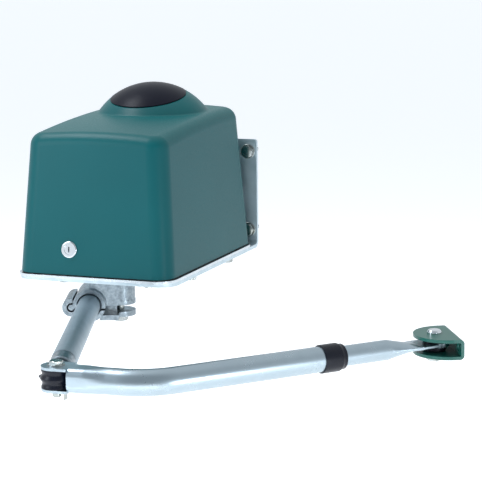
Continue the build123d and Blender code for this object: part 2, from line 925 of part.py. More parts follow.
# Output shaft: stepped, with a threaded hole at its foot and a stem for the limit cams
def output_shaft():
    foot = tube_z - shaft_below_tube
    step = casing_top - run_gap
    neck = lid_top + run_gap
    with BuildPart() as piece:
        with BuildSketch(on_shaft(foot)):
            Circle(shaft_size / 2)
        extrude(amount=step - foot)
        with BuildSketch(on_shaft(step)):
            Circle(shaft_top_size / 2)
        extrude(amount=neck - step)
        with BuildSketch(on_shaft(neck)):
            Circle(shaft_stem / 2)
        extrude(amount=shaft_stem_length)
        with BuildSketch(on_shaft(foot)):
            Circle(m10_shank / 2)
        extrude(amount=shaft_thread_depth, mode=Mode.SUBTRACT)
    save(piece, "output_shaft")


def worm_wheel():
    bottom = gear_z - wheel_width / 2
    with BuildPart() as piece:
        with BuildSketch(on_shaft(bottom)):
            Circle(wheel_radius - run_gap)
            Circle(shaft_size / 2, mode=Mode.SUBTRACT)
        extrude(amount=wheel_width)
        with BuildSketch(on_shaft(bottom), on_shaft(bottom + wheel_width - wheel_recess)):
            Circle(wheel_radius - wheel_rim)
            Circle(wheel_hub, mode=Mode.SUBTRACT)
        extrude(amount=wheel_recess, mode=Mode.SUBTRACT)
    save(piece, "worm_wheel")


# Limit cams on the shaft's stem, and two switches beside them
def limit_cams():
    with BuildPart() as piece:
        for step, turn in enumerate(limit_cam_turns):
            with BuildSketch(on_shaft(lid_top + limit_cam_stand + step * limit_cam_pitch)):
                Circle(limit_cam_size / 2)
                with PolarLocations(limit_lobe_out, 1, turn):
                    Circle(limit_lobe_size / 2)
                Circle(shaft_stem / 2, mode=Mode.SUBTRACT)
            extrude(amount=limit_cam_thick)
    save(piece, "limit_cams")


def switch_bracket():
    top = lid_top + shaft_stem_length
    with BuildPart() as piece:
        with BuildSketch(Plane.XZ.offset(-shaft_y)):
            with BuildLine():
                Polyline((switch_x, lid_face), (switch_x + switch_foot, lid_face),
                         (switch_x + switch_foot, lid_face + switch_plate),
                         (switch_x + switch_plate, lid_face + switch_plate),
                         (switch_x + switch_plate, top), (switch_x, top), close=True)
            make_face()
        extrude(amount=switch_plate_width / 2, both=True)
    save(piece, "switch_bracket")


def limit_switches():
    with BuildPart() as piece:
        for step in range(len(limit_cam_turns)):
            middle = lid_top + limit_cam_stand + limit_cam_thick / 2 + step * limit_cam_pitch
            with BuildSketch(Plane.YZ.offset(switch_x)):
                with Locations((shaft_y, middle)):
                    Rectangle(switch_plate_width, switch_height)
            extrude(amount=-switch_body)
            with BuildSketch(Plane.YZ.offset(switch_x - switch_body)):
                with Locations((shaft_y, middle)):
                    Rectangle(switch_roller_width, switch_roller)
            extrude(amount=-switch_roller)
    save(piece, "limit_switches")


# Manual release: a lever that turns on a shouldered pin in the gearbox lid
def at_release(z):
    return Plane((release_x, release_y, z))


def release_pin_post():
    lever_top = release_z + release_arm_thick + release_hub_height
    with BuildPart() as piece:
        with BuildSketch(at_release(casing_top)):
            Circle(release_pin / 2)
        extrude(amount=lever_top + end_gap - casing_top)
        with BuildSketch(at_release(lid_face)):
            Circle(release_pin_head / 2)
        extrude(amount=release_stand - end_gap)
        with BuildSketch(at_release(lever_top + end_gap)):
            Circle(release_pin_head / 2)
        extrude(amount=washer_thick)
    save(piece, "release_pin")


def release_lever():
    hub_foot = release_z + release_arm_thick
    with BuildPart() as piece:
        with BuildSketch(at_release(release_z)):
            with Locations((-release_reach / 2, 0)):
                SlotOverall(release_reach + release_arm_width, release_arm_width)
        extrude(amount=release_arm_thick)
        with BuildSketch(at_release(release_z)):
            Circle(release_hub / 2)
        extrude(amount=release_arm_thick + release_hub_height)
        with BuildSketch(at_release(hub_foot)):
            with Locations((-release_reach, 0)):
                Circle(release_knob / 2)
        extrude(amount=release_knob_height, taper=release_knob_draft)
        with BuildSketch(at_release(release_z)):
            Circle(release_pin / 2 + turn_gap)
        extrude(amount=release_arm_thick + release_hub_height, mode=Mode.SUBTRACT)
    save(piece, "release_lever")


# Motor: can, end cap, and the rotor with the worm on its spindle
def motor_can():
    with BuildPart() as piece:
        with BuildSketch(along_motor(0)):
            Circle(motor_size / 2)
        extrude(amount=motor_length)
        with BuildSketch(along_motor(motor_wall)):
            Circle(motor_size / 2 - motor_wall)
        extrude(amount=motor_length - motor_wall, mode=Mode.SUBTRACT)
        with BuildSketch(along_motor(0)):
            Circle(spindle_size / 2 + run_gap)
        extrude(amount=motor_wall, mode=Mode.SUBTRACT)
    save(piece, "motor_can")


def motor_end_cap():
    with BuildPart() as piece:
        with BuildSketch(along_motor(motor_length)):
            Circle(motor_size / 2)
        extrude(amount=motor_cap, taper=motor_cap_draft)
        with BuildSketch(along_motor(motor_length)):
            Circle(motor_size / 2 - motor_wall)
        extrude(amount=-motor_cap_plug)
        with BuildSketch(along_motor(motor_length)):
            Circle(spindle_size / 2 + turn_gap)
        extrude(amount=motor_cap_plug, both=True, mode=Mode.SUBTRACT)
    save(piece, "motor_end_cap")


def motor_worm():
    start = chamber_end - chamber_rear - chamber_front
    with BuildPart() as piece:
        with BuildSketch(along_motor(start + end_gap)):
            Circle(spindle_size / 2)
        extrude(amount=motor_length - start)
        with BuildSketch(along_motor(-chamber_rear)):
            Circle(worm_radius)
        extrude(amount=worm_length / 2, both=True)
        with BuildSketch(along_motor(rotor_start)):
            Circle(rotor_size / 2)
        extrude(amount=rotor_length)
    save(piece, "motor_worm")


# Transformer and capacitor on the tray
def transformer():
    with BuildPart() as piece:
        with BuildSketch(Plane((wound_x, transformer_y, tray_top))):
            Rectangle(core_base_width, core_base_depth)
        extrude(amount=core_base_thick)
        with BuildSketch(Plane((wound_x, transformer_y, tray_top))):
            Rectangle(core_width, core_depth)
        extrude(amount=core_height)
        with BuildSketch(Plane((wound_x, transformer_y, tray_top + (core_height - winding_height) / 2))):
            RectangleRounded(winding_width, winding_depth, winding_corner)
        extrude(amount=winding_height)
    save(piece, "transformer")


def capacitor():
    with BuildPart() as piece:
        with BuildSketch(Plane((wound_x, capacitor_y, tray_top))):
            Circle(capacitor_size / 2)
        extrude(amount=capacitor_height)
        fillet(piece.edges().group_by(Axis.Z)[-1], capacitor_edge)
        with BuildSketch(Plane((wound_x, capacitor_y, tray_top + capacitor_height))):
            Circle(capacitor_pole / 2)
        extrude(amount=capacitor_pole_height)
    save(piece, "capacitor")


# Control board on posts, on a folded carrier that stands over the transformer

def above_board(x, y, z):
    """A level plane placed from the middle of the board."""
    return Plane((board_centre[0] + x, board_centre[1] + y, z))


def board_carrier():
    inner_top = carrier_top - carrier_plate
    with BuildPart() as piece:
        with BuildSketch(Plane.XZ.offset(-carrier_front)):
            with BuildLine():
                Polyline((carrier_left + carrier_foot, tray_top), (carrier_left - carrier_plate, tray_top),
                         (carrier_left - carrier_plate, carrier_top),
                         (carrier_right + carrier_plate, carrier_top),
                         (carrier_right + carrier_plate, tray_top), (carrier_right - carrier_foot, tray_top),
                         (carrier_right - carrier_foot, tray_top + carrier_plate),
                         (carrier_right, tray_top + carrier_plate), (carrier_right, inner_top),
                         (carrier_left, inner_top), (carrier_left, tray_top + carrier_plate),
                         (carrier_left + carrier_foot, tray_top + carrier_plate), close=True)
            make_face()
        extrude(amount=-carrier_length)
    save(piece, "board_carrier")


def board_posts():
    with BuildPart() as piece:
        with BuildSketch(above_board(0, 0, carrier_top)):
            with GridLocations(carrier_width - 2 * (board_inset + post_inset),
                               carrier_length - 2 * (board_inset + post_inset), 2, 2):
                Circle(post_size / 2)
        extrude(amount=post_height)
    save(piece, "board_posts")


def control_board():
    with BuildPart() as piece:
        with BuildSketch(above_board(0, 0, carrier_top + post_height)):
            Rectangle(carrier_width - 2 * board_inset, carrier_length - 2 * board_inset)
        extrude(amount=board_thick)
    save(piece, "control_board")


def board_parts():
    blocks = [(relay, place) for place in relay_places]
    blocks += [(supply_block, supply_place), (chip_block, chip_place)]
    with BuildPart() as piece:
        for (long, wide, high), (x, y) in blocks:
            with BuildSketch(above_board(x, y, board_top)):
                Rectangle(long, wide)
            extrude(amount=high)
        with BuildSketch(above_board(carrier_width / 2 - board_capacitor, board_capacitor_y, board_top)):
            Circle(board_capacitor / 2)
        extrude(amount=board_capacitor_height)
    save(piece, "board_parts")


def terminal_block():
    row_y = carrier_length / 2 - terminal_width
    with BuildPart() as piece:
        with BuildSketch(above_board(0, row_y, board_top)):
            Rectangle(terminal_length, terminal_width)
        extrude(amount=terminal_width)
        with BuildSketch(above_board(0, row_y, board_top + terminal_width)):
            with GridLocations(terminal_pitch, 1, terminal_count, 1):
                Circle(terminal_screw / 2)
        extrude(amount=-terminal_screw, mode=Mode.SUBTRACT)
    save(piece, "terminal_block")


# Upper clamp casting: hub on the shaft, an arch over the tube and a bead on its far lip
def tube_mouth():
    """The bore for the crank tube, flared where the tube comes out of the clamp."""
    with BuildSketch(along_tube(-clamp_back)) as bore:
        Circle(tube_size / 2)
    extrude(bore.sketch, amount=clamp_back + clamp_front, mode=Mode.SUBTRACT)
    with BuildSketch(along_tube(clamp_front)) as mouth:
        Circle(tube_size / 2 + mouth_length * tan(radians(mouth_flare)))
    extrude(mouth.sketch, amount=-mouth_length, taper=mouth_flare, mode=Mode.SUBTRACT)


def clamp_body():
    arch = tube_size / 2 + clamp_wall
    hub_top = under_bottom - hub_gap
    web_base = Plane(origin=(0, shaft_y, flange_bottom), x_dir=across_crank, z_dir=(0, 0, 1))
    with BuildPart() as piece:
        with BuildSketch(along_tube(-clamp_back)):
            Circle(arch)
            with Locations((0, -arch - flange_below_tube)):
                Rectangle(2 * arch, 2 * arch, mode=Mode.SUBTRACT)
            with Locations((-bead_out, -bead_drop)):
                Circle(bead_size / 2)
        extrude(amount=clamp_back + clamp_front)
        with BuildSketch(web_base):
            with BuildLine():
                Polyline((-clamp_offset, -web_front), (0, -hub_size / 2), (0, hub_size / 2),
                         (-clamp_offset, web_back), close=True)
            make_face()
        extrude(amount=hub_top - flange_bottom)
        with BuildSketch(on_shaft(flange_bottom)):
            Circle(flange_size / 2)
        extrude(amount=flange_thick)
        with BuildSketch(on_shaft(flange_bottom)):
            Circle(hub_size / 2)
        extrude(amount=hub_top - flange_bottom)
        tube_mouth()
        with BuildSketch(on_shaft(flange_bottom)):
            Circle(shaft_size / 2)
        extrude(until=Until.LAST, mode=Mode.SUBTRACT)
    save(piece, "clamp_body")


# Lower clamp half: a strap that hooks over the bead, passes under the tube and ends in a round flange
def clamp_strap():
    outside = tube_size / 2 + strap_thick
    hook_outside = hook_inside + hook_wall
    hook_floor = -bead_drop - hook_inside - hook_wall / 2
    flange_middle = -flange_below_tube - flange_gap - strap_thick / 2
    with BuildPart() as piece:
        with BuildSketch(along_tube(-clamp_back)):
            Circle(outside)
            with Locations((0, outside - strap_top)):
                Rectangle(2 * outside, 2 * outside, mode=Mode.SUBTRACT)
            with Locations((-bead_out / 2, hook_floor)):
                Rectangle(bead_out, hook_wall)
            with Locations((clamp_offset / 2 + strap_thick, flange_middle)):
                Rectangle(clamp_offset - 2 * strap_thick, strap_thick)
        extrude(amount=clamp_back + clamp_front)
        with BuildSketch(along_tube(-clamp_back)):
            with Locations((-bead_out, -bead_drop)):
                Circle(hook_outside)
                Circle(hook_inside, mode=Mode.SUBTRACT)
                with Locations((hook_opening + hook_outside, hook_outside - hook_mouth)):
                    Rectangle(2 * hook_outside, 2 * hook_outside, mode=Mode.SUBTRACT)
        extrude(amount=clamp_back + clamp_front)
        with BuildSketch(on_shaft(strap_flange_bottom)):
            Circle(flange_size / 2)
        extrude(amount=strap_thick)
        tube_mouth()
        with BuildSketch(on_shaft(strap_flange_bottom)):
            Circle(m10_shank / 2)
        extrude(amount=strap_thick, mode=Mode.SUBTRACT)
    save(piece, "clamp_strap")


def clamp_bolt():
    seat = strap_flange_bottom - washer_thick
    with BuildPart() as piece:
        with BuildSketch(on_shaft(seat)):
            Circle(washer_m10 / 2)
        extrude(amount=washer_thick)
        hex_head(Plane((0, shaft_y, seat), z_dir=(0, 0, -1)), m10_flats, m10_head)
        with BuildSketch(on_shaft(seat)):
            Circle(m10_shank / 2)
        extrude(amount=tube_z + clamp_bolt_reach - seat)
    save(piece, "clamp_bolt")


# Crank tube and the eye fitting in its end
def crank_tube():
    with BuildPart() as piece:
        with BuildSketch(along_tube(-clamp_back - tube_tail)):
            Circle(tube_size / 2)
            Circle(tube_size / 2 - tube_wall, mode=Mode.SUBTRACT)
        extrude(amount=clamp_back + tube_tail + crank_length - ring_from_elbow)
    save(piece, "crank_tube")


def crank_eye():
    ring = crank_length - ring_from_elbow
    with BuildPart() as piece:
        with BuildSketch(along_tube(ring - eye_plug)):
            Circle(tube_size / 2 - tube_wall)
        extrude(amount=eye_plug)
        with BuildSketch(along_tube(ring)):
            Circle(tube_size / 2 - eye_step)
        extrude(amount=ring_from_elbow - shoulder_from_elbow)
        chamfer(piece.edges().filter_by(GeomType.CIRCLE).sort_by(tube_axis)[-1], eye_shoulder_edge)
        with BuildSketch(elbow_plane.offset(-eye_thick / 2)):
            Circle(eye_radius)
            with Locations((-shoulder_from_elbow / 2, 0)):
                Rectangle(shoulder_from_elbow, tongue_width)
        extrude(amount=eye_thick)
        with BuildSketch(elbow_plane.offset(-eye_thick / 2)):
            Circle(sleeve_size / 2)
        extrude(amount=eye_thick, mode=Mode.SUBTRACT)
    save(piece, "crank_eye")


# Elbow bearing: two shell halves around the eye, with a sleeve for the bolt
def elbow_shell(side, name):
    """One half of the bearing shell; side is 1 for the upper half and -1 for the lower."""
    with BuildPart() as piece:
        with BuildSketch(elbow_plane):
            Circle(shell_radius)
        extrude(amount=side * shell_half)
        with BuildSketch(Plane(origin=elbow, x_dir=(-1, 0, 0), z_dir=(0, 1, 0))):
            with BuildLine():
                Polyline((0, 0), (nose_reach, 0), (shell_radius - end_gap, side * nose_height / 2),
                         (0, side * nose_height / 2), close=True)
            make_face()
        extrude(amount=nose_width / 2, both=True)
        with BuildSketch(elbow_plane):
            Circle(eye_radius)
            with Locations((-shell_radius, 0)):
                Rectangle(2 * shell_radius, tongue_width)
        extrude(amount=side * eye_thick / 2, mode=Mode.SUBTRACT)
        with BuildSketch(elbow_plane):
            Circle(sleeve_size / 2)
        extrude(amount=side * shell_half, mode=Mode.SUBTRACT)
    save(piece, name)


def elbow_sleeve():
    with BuildPart() as piece:
        with BuildSketch(elbow_plane.offset(-shell_half)):
            Circle(sleeve_size / 2)
            Circle(m10_shank / 2 + turn_gap, mode=Mode.SUBTRACT)
        extrude(amount=2 * shell_half)
    save(piece, "elbow_sleeve")


# Bent outer tube: its near end is pressed into a fork with two ears
def outer_tube():
    tangent = bend_radius * tan(radians(arm_bend / 2))
    round_start = fork_flat + fork_taper
    round_end = collar_from_corner + collar_length - collar_lip
    inner_radius = tube_size / 2 - tube_wall
    with BuildPart() as piece:
        with BuildLine(arm_plane):
            first = Line((round_start, 0), (first_run - tangent, 0))
            bend = JernArc(first @ 1, first % 1, bend_radius, arm_bend)
            Line(bend @ 1, bend @ 1 + (bend % 1) * (round_end - tangent))
        with BuildSketch(across_arm(round_start)):
            Circle(tube_size / 2)
            Circle(inner_radius, mode=Mode.SUBTRACT)
        sweep()
        with BuildSketch(across_arm(fork_flat)):
            RectangleRounded(fork_width, fork_height, fork_corner)
        with BuildSketch(across_arm(round_start)):
            Circle(tube_size / 2)
        loft()
        with BuildSketch(across_arm(fork_flat)):
            RectangleRounded(fork_width, fork_height, fork_corner)
        extrude(amount=fork_start - fork_flat)
        with BuildSketch(arm_plane.offset(-fork_height / 2)):
            Circle(ear_radius)
            with Locations((fork_start / 2, 0)):
                Rectangle(fork_start, fork_width)
        extrude(amount=fork_height)
        with BuildSketch(across_arm(fork_flat)):
            RectangleRounded(fork_width - 2 * tube_wall, fork_gap, fork_corner - tube_wall)
        with BuildSketch(across_arm(round_start)):
            Circle(inner_radius)
        loft(mode=Mode.SUBTRACT)
        with BuildSketch(across_arm(fork_flat)):
            RectangleRounded(fork_width - 2 * tube_wall, fork_gap, fork_corner - tube_wall)
        extrude(amount=fork_start - fork_flat, mode=Mode.SUBTRACT)
        with BuildSketch(arm_plane.offset(-fork_gap / 2)):
            with Locations(((fork_start - ear_radius) / 2, 0)):
                Rectangle(fork_start + ear_radius, 2 * ear_radius)
        extrude(amount=fork_gap, mode=Mode.SUBTRACT)
        with BuildSketch(arm_plane.offset(-fork_height / 2)):
            Circle(m10_shank / 2)
        extrude(amount=fork_height, mode=Mode.SUBTRACT)
    save(piece, "outer_tube")


def elbow_bolt():
    top = fork_height / 2
    with BuildPart() as piece:
        with BuildSketch(arm_plane.offset(top)):
            Circle(elbow_flange / 2)
        extrude(amount=elbow_flange_thick)
        with BuildSketch(arm_plane.offset(top + elbow_flange_thick)):
            RegularPolygon(elbow_flats / 2, 6, major_radius=False)
        extrude(amount=elbow_head)
        with BuildSketch(arm_plane.offset(top)):
            Circle(m10_shank / 2)
        extrude(amount=-fork_height - elbow_bolt_end)
    save(piece, "elbow_bolt")


def elbow_clip():
    seat = -fork_height / 2
    side_plane = Plane(origin=elbow, x_dir=along_arm, z_dir=(along_arm.Y, -along_arm.X, 0))
    with BuildPart() as piece:
        with BuildSketch(arm_plane.offset(seat)):
            Circle(clip_reach - clip_thick)
        extrude(amount=-clip_thick)
        with BuildSketch(side_plane):
            with BuildLine():
                Polyline((0, seat), (clip_reach, seat), (clip_reach, seat - clip_drop),
                         (clip_reach - clip_thick, seat - clip_drop),
                         (clip_reach - clip_thick, seat - clip_thick), (0, seat - clip_thick), close=True)
            make_face()
        extrude(amount=clip_width / 2, both=True)
        with BuildSketch(arm_plane.offset(seat)):
            Circle(m10_shank / 2)
        extrude(amount=-clip_thick, mode=Mode.SUBTRACT)
    save(piece, "elbow_clip")


# Plastic collar that closes the outer tube and guides the inner one
def slide_collar():
    tube_end = collar_from_corner + collar_length - collar_lip
    collar_end = collar_from_corner + collar_length
    grip = tube_size / 2
    bore = inner_size / 2 + slide_gap
    with BuildPart() as piece:
        with BuildSketch(reach_side):
            with BuildLine():
                Polyline((collar_from_corner, grip), (collar_from_corner, grip + collar_wall),
                         (tube_end, grip + collar_wall), (tube_end + collar_step, grip),
                         (collar_end, grip), (collar_end, bore), (tube_end, bore), (tube_end, grip),
                         close=True)
            make_face()
        revolve(axis=reach_axis)
    save(piece, "slide_collar")


# Inner tube, pressed into a flat blade with a round end
def inner_tube():
    round_end = blade_flat + blade_taper
    length = pin_from_corner - (collar_from_corner + collar_length - inner_overlap)
    with BuildPart() as piece:
        with BuildSketch(before_pin(length)):
            Circle(inner_size / 2)
        extrude(amount=length - round_end)
        with BuildSketch(before_pin(blade_flat)):
            RectangleRounded(blade_width, blade_thick, blade_edge)
        with BuildSketch(before_pin(round_end)):
            Circle(inner_size / 2)
        loft()
        with BuildSketch(before_pin(blade_flat)):
            RectangleRounded(blade_width, blade_thick, blade_edge)
        extrude(amount=blade_flat)
        with BuildSketch(blade_plane.offset(-blade_thick / 2)):
            Circle(blade_width / 2)
        extrude(amount=blade_thick)
        with BuildSketch(before_pin(length)):
            Circle(inner_size / 2 - inner_wall)
        extrude(amount=length - round_end, mode=Mode.SUBTRACT)
        with BuildSketch(blade_plane.offset(-blade_thick / 2)):
            Circle(bush_spigot / 2)
        extrude(amount=blade_thick, mode=Mode.SUBTRACT)
    save(piece, "inner_tube")


# Two flanged bushes, seated in the blade from above and below
def blade_bushes():
    top = bracket_height / 2 - bracket_sheet - end_gap
    with BuildPart() as piece:
        for side in (-1, 1):
            with BuildSketch(blade_plane.offset(side * blade_thick / 2)):
                Circle(bush_size / 2)
            extrude(amount=side * (top - blade_thick / 2))
            with BuildSketch(blade_plane.offset(side * end_gap / 2)):
                Circle(bush_spigot / 2)
            extrude(amount=side * (blade_thick - end_gap) / 2)
        with BuildSketch(blade_plane.offset(-top)):
            Circle(m10_shank / 2 + turn_gap)
        extrude(amount=2 * top, mode=Mode.SUBTRACT)
    save(piece, "blade_bushes")


# Gate bracket: one folded channel, with rounded ears and two holes for the gate
def gate_bracket():
    half = bracket_height / 2
    ear_centre = ear_length / 2 - ear_reach
    with BuildPart() as piece:
        with BuildSketch(bracket_plane.offset(-half)):
            with Locations((0, ear_centre)):
                Circle(ear_length / 2)
                with Locations((0, ear_length / 2)):
                    Rectangle(ear_length, ear_length, mode=Mode.SUBTRACT)
            with Locations((0, (ear_centre + web_from_pin) / 2)):
                Rectangle(ear_length, web_from_pin - ear_centre)
        extrude(amount=bracket_height)
        back = Axis(gate_pin, bracket_plane.y_dir)
        fillet(piece.edges().filter_by(Axis(gate_pin, along_web)).group_by(back)[-1], web_bend)
        with BuildSketch(bracket_plane.offset(bracket_sheet - half)):
            with Locations((0, web_from_pin - bracket_sheet - ear_length)):
                Rectangle(2 * ear_length, 2 * ear_length)
        extrude(amount=bracket_height - 2 * bracket_sheet, mode=Mode.SUBTRACT)
        with BuildSketch(bracket_plane.offset(-half)):
            Circle(m10_shank / 2)
        extrude(amount=bracket_height, mode=Mode.SUBTRACT)
        with BuildSketch(web_plane):
            with GridLocations(gate_holes_apart, 1, 2, 1):
                Circle(gate_hole / 2)
        extrude(amount=-bracket_sheet, mode=Mode.SUBTRACT)
    save(piece, "gate_bracket")


def gate_bolt():
    top = bracket_height / 2
    with BuildPart() as piece:
        with BuildSketch(bracket_plane.offset(top)):
            Circle(dome_head / 2)
        extrude(amount=dome_head_height)
        fillet(piece.edges().group_by(Axis.Z)[-1], dome_head_round)
        with BuildSketch(bracket_plane.offset(top)):
            Circle(m10_shank / 2)
        extrude(amount=-bracket_height - gate_nut_height - gate_bolt_end)
    save(piece, "gate_bolt")


def gate_nut():
    with BuildPart() as piece:
        with BuildSketch(bracket_plane.offset(-bracket_height / 2)):
            RegularPolygon(m10_flats / 2, 6, major_radius=False)
            Circle(m10_shank / 2, mode=Mode.SUBTRACT)
        extrude(amount=-gate_nut_height)
    save(piece, "gate_nut")


mounting_bracket()
post_washers()
post_bolts()
base_tray()
cover_seal()
stiffener(shaft_y, front_plate_length, "front_stiffener")
stiffener(-rear_plate_from_wall - rear_plate_length / 2, rear_plate_length, "rear_stiffener")
plate_bolts()
gearbox_bolts()
cable_gland()
gland_nut()
cover()
dome_cap()
lock_body()
lock_nut()
lock_plug()
lock_cam()
lock_catch()
gearbox_housing()
shaft_seal()
gearbox_lid()
lid_screws()
shaft_bearings()
worm_bearings()
output_shaft()
worm_wheel()
limit_cams()
switch_bracket()
limit_switches()
release_pin_post()
release_lever()
motor_can()
motor_end_cap()
motor_worm()
transformer()
capacitor()
board_carrier()
board_posts()
control_board()
board_parts()
terminal_block()
clamp_body()
clamp_strap()
clamp_bolt()
crank_tube()
crank_eye()
elbow_shell(1, "elbow_shell_upper")
elbow_shell(-1, "elbow_shell_lower")
elbow_sleeve()
outer_tube()
elbow_bolt()
elbow_clip()
slide_collar()
inner_tube()
blade_bushes()
gate_bracket()
gate_bolt()
gate_nut()
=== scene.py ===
# %% [markdown]
# # A swing gate opener, dressed for its portrait
# A covered gear drive sits on a folded bracket that is bolted to a gate post. A clamp holds a straight
# crank tube on the drive's output shaft. At the crank's far end an elbow bearing carries a bent tube, and a
# thinner tube slides in that one and ends in a flattened blade between the ears of a green channel bracket.
#
# The shapes come from a packed construction model, which is a fixed frame here: nothing in it is moved.
# This script gives every piece its finish, and builds again those pieces whose small forms matter to the
# eye: cast, folded and drawn pieces with rounded edges, bolts with chamfered heads and threads, screws with
# sockets, and the elbow's black bearing.

from math import atan2, cos, pi, radians, sin

import bmesh
import bpy
from mathutils import Matrix, Vector


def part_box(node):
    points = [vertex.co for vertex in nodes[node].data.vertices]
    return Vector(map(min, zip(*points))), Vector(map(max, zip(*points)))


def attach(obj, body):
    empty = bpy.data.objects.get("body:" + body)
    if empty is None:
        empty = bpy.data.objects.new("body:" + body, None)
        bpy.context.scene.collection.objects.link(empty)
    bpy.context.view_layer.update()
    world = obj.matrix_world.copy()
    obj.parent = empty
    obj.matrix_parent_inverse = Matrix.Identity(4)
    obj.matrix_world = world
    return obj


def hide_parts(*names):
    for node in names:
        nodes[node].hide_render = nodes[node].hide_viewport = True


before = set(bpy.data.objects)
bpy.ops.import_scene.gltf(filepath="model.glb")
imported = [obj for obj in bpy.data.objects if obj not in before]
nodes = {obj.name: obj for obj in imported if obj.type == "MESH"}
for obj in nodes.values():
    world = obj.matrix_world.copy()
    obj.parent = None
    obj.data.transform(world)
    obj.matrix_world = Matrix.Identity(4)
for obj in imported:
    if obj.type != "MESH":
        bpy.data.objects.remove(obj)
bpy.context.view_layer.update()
mm = 0.001

# %% [markdown]
# ## The camera
# The photograph was taken with a long lens, a little above the cover and to its right. Its viewing angle
# was worked out from the cover's straight edges, so the camera here only needs those few measured values. A
# long lens far away keeps the cover's walls nearly parallel, which a short lens close by would not. The
# three turns are applied in the order in which a photographer makes them: round, down, and a slight roll.

# %% Camera at the photograph's viewing angle
picture_width = 482
focal_pixels = 1623.2
camera_place = Vector((0.915, -2.2037, 0.3311))
camera_turn = radians(20.62)
camera_pitch = radians(9.82)
camera_roll = radians(-0.566)
sensor_width = 36
furthest_seen = 200

lens = bpy.data.cameras.new("portrait_lens")
lens.sensor_width = sensor_width
lens.lens = sensor_width * focal_pixels / picture_width
lens.clip_end = furthest_seen
camera = bpy.data.objects.new("portrait_camera", lens)
round_turn = Matrix.Rotation(camera_turn, 4, "Z")
down_turn = Matrix.Rotation(pi / 2 - camera_pitch, 4, "X")
roll_turn = Matrix.Rotation(camera_roll, 4, "Z")
camera.matrix_world = Matrix.Translation(camera_place) @ round_turn @ down_turn @ roll_turn
bpy.context.scene.collection.objects.link(camera)
bpy.context.scene.camera = camera
print("lens", round(lens.lens, 1), "mm")

# %% [markdown]
# ## One helper for shader nodes, one for colours
# A material is a small graph. One function adds a node, sets its options and fills its inputs, either with
# a value or with another node's output, so the graphs below read like recipes. Colours are written as the
# hex values that a colour picker shows, and one function turns them into the linear numbers that a renderer
# needs.

# %% Helpers for colours and node graphs
def colour(code):
    """A linear colour from an sRGB hex value."""
    parts = [int(code[i:i + 2], 16) / 255 for i in (1, 3, 5)]
    linear = [part / 12.92 if part <= 0.04045 else ((part + 0.055) / 1.055) ** 2.4 for part in parts]
    return (*linear, 1)


def add_node(tree, kind, inputs=None, **settings):
    """Adds a shader node, gives it its settings, and fills its inputs with values or outputs."""
    made = tree.nodes.new("ShaderNode" + kind)
    for name, value in settings.items():
        setattr(made, name, value)
    for socket, value in (inputs or {}).items():
        if isinstance(value, bpy.types.NodeSocket):
            tree.links.new(value, made.inputs[socket])
        else:
            made.inputs[socket].default_value = value
    return made


def start_material(name):
    """An empty material, its tree, and the object's own coordinates in metres."""
    material = bpy.data.materials.new(name)
    material.use_nodes = True
    tree = material.node_tree
    tree.nodes.clear()
    place = add_node(tree, "TexCoord").outputs["Object"]
    return material, tree, place


def finish_material(tree, shader):
    """Links a shader to the material's output."""
    add_node(tree, "OutputMaterial", {"Surface": shader.outputs["BSDF"]})


print("mid grey in linear numbers:", [round(part, 3) for part in colour("#808080")])

# %% [markdown]
# ## Light: a white table under a pale sky
# Plated tubes show what stands round them, so the surroundings matter more than the lamps. The photograph's
# tubes are bright below, from a white table, have a grey band a little above their middle, from the dimmer
# room behind the camera, and are bright again on top. A sky shader that only looks at the direction makes
# all three: pale above and at the back, and greyer towards the camera's side. The plain view transform
# keeps the table white.

# %% Sky
sky_strength = 0.85
room_strength = 0.58
room_direction = (0.30, -0.75, 0.59)
room_starts = 0.45
room_full = 0.92

bpy.context.scene.view_settings.view_transform = "Standard"
world = bpy.data.worlds.new("studio")
world.use_nodes = True
sky = world.node_tree
sky.nodes.clear()
direction = add_node(sky, "TexCoord").outputs["Generated"]
towards_room = add_node(sky, "VectorMath", {0: direction, 1: room_direction}, operation="DOT_PRODUCT")
strength = add_node(sky, "MapRange", {
    "Value": towards_room.outputs["Value"], "From Min": room_starts, "From Max": room_full,
    "To Min": sky_strength, "To Max": room_strength}, interpolation_type="SMOOTHSTEP").outputs["Result"]
tint = add_node(sky, "Mix", {"Factor": strength, "A": colour("#9fb4c6"), "B": colour("#f6fafd")},
                data_type="RGBA")
glow = add_node(sky, "Background", {"Color": tint.outputs["Result"], "Strength": strength})
add_node(sky, "OutputWorld", {"Surface": glow.outputs["Background"]})
bpy.context.scene.world = world
print("sky strength", sky_strength, "room strength", room_strength)

# %% [markdown]
# ## Lamps
# The ceiling lamp and the table's glow only light surfaces: seen in the tubes they would burn out the grey
# band, so they are kept out of reflections. The other three are there for what they draw. The roof window
# makes the streaks along the roof's edge and on the tubes, the cool left window gives the cover's front its
# slow change from light to dark, and a narrow strip low at the right picks out the cover's corner.

# %% Lamps
def soft_lamp(name, place, target, width, height, power, code, glints=True):
    """A rectangular lamp that faces a target. Without glints it lights surfaces but isn't seen in them."""
    lamp = bpy.data.lights.new(name, "AREA")
    lamp.shape = "RECTANGLE"
    lamp.size = width
    lamp.size_y = height
    lamp.energy = power
    lamp.color = colour(code)[:3]
    holder = bpy.data.objects.new(name, lamp)
    holder.location = place
    holder.rotation_euler = (Vector(target) - Vector(place)).to_track_quat("-Z", "Y").to_euler()
    holder.visible_camera = False
    holder.visible_glossy = glints
    bpy.context.scene.collection.objects.link(holder)


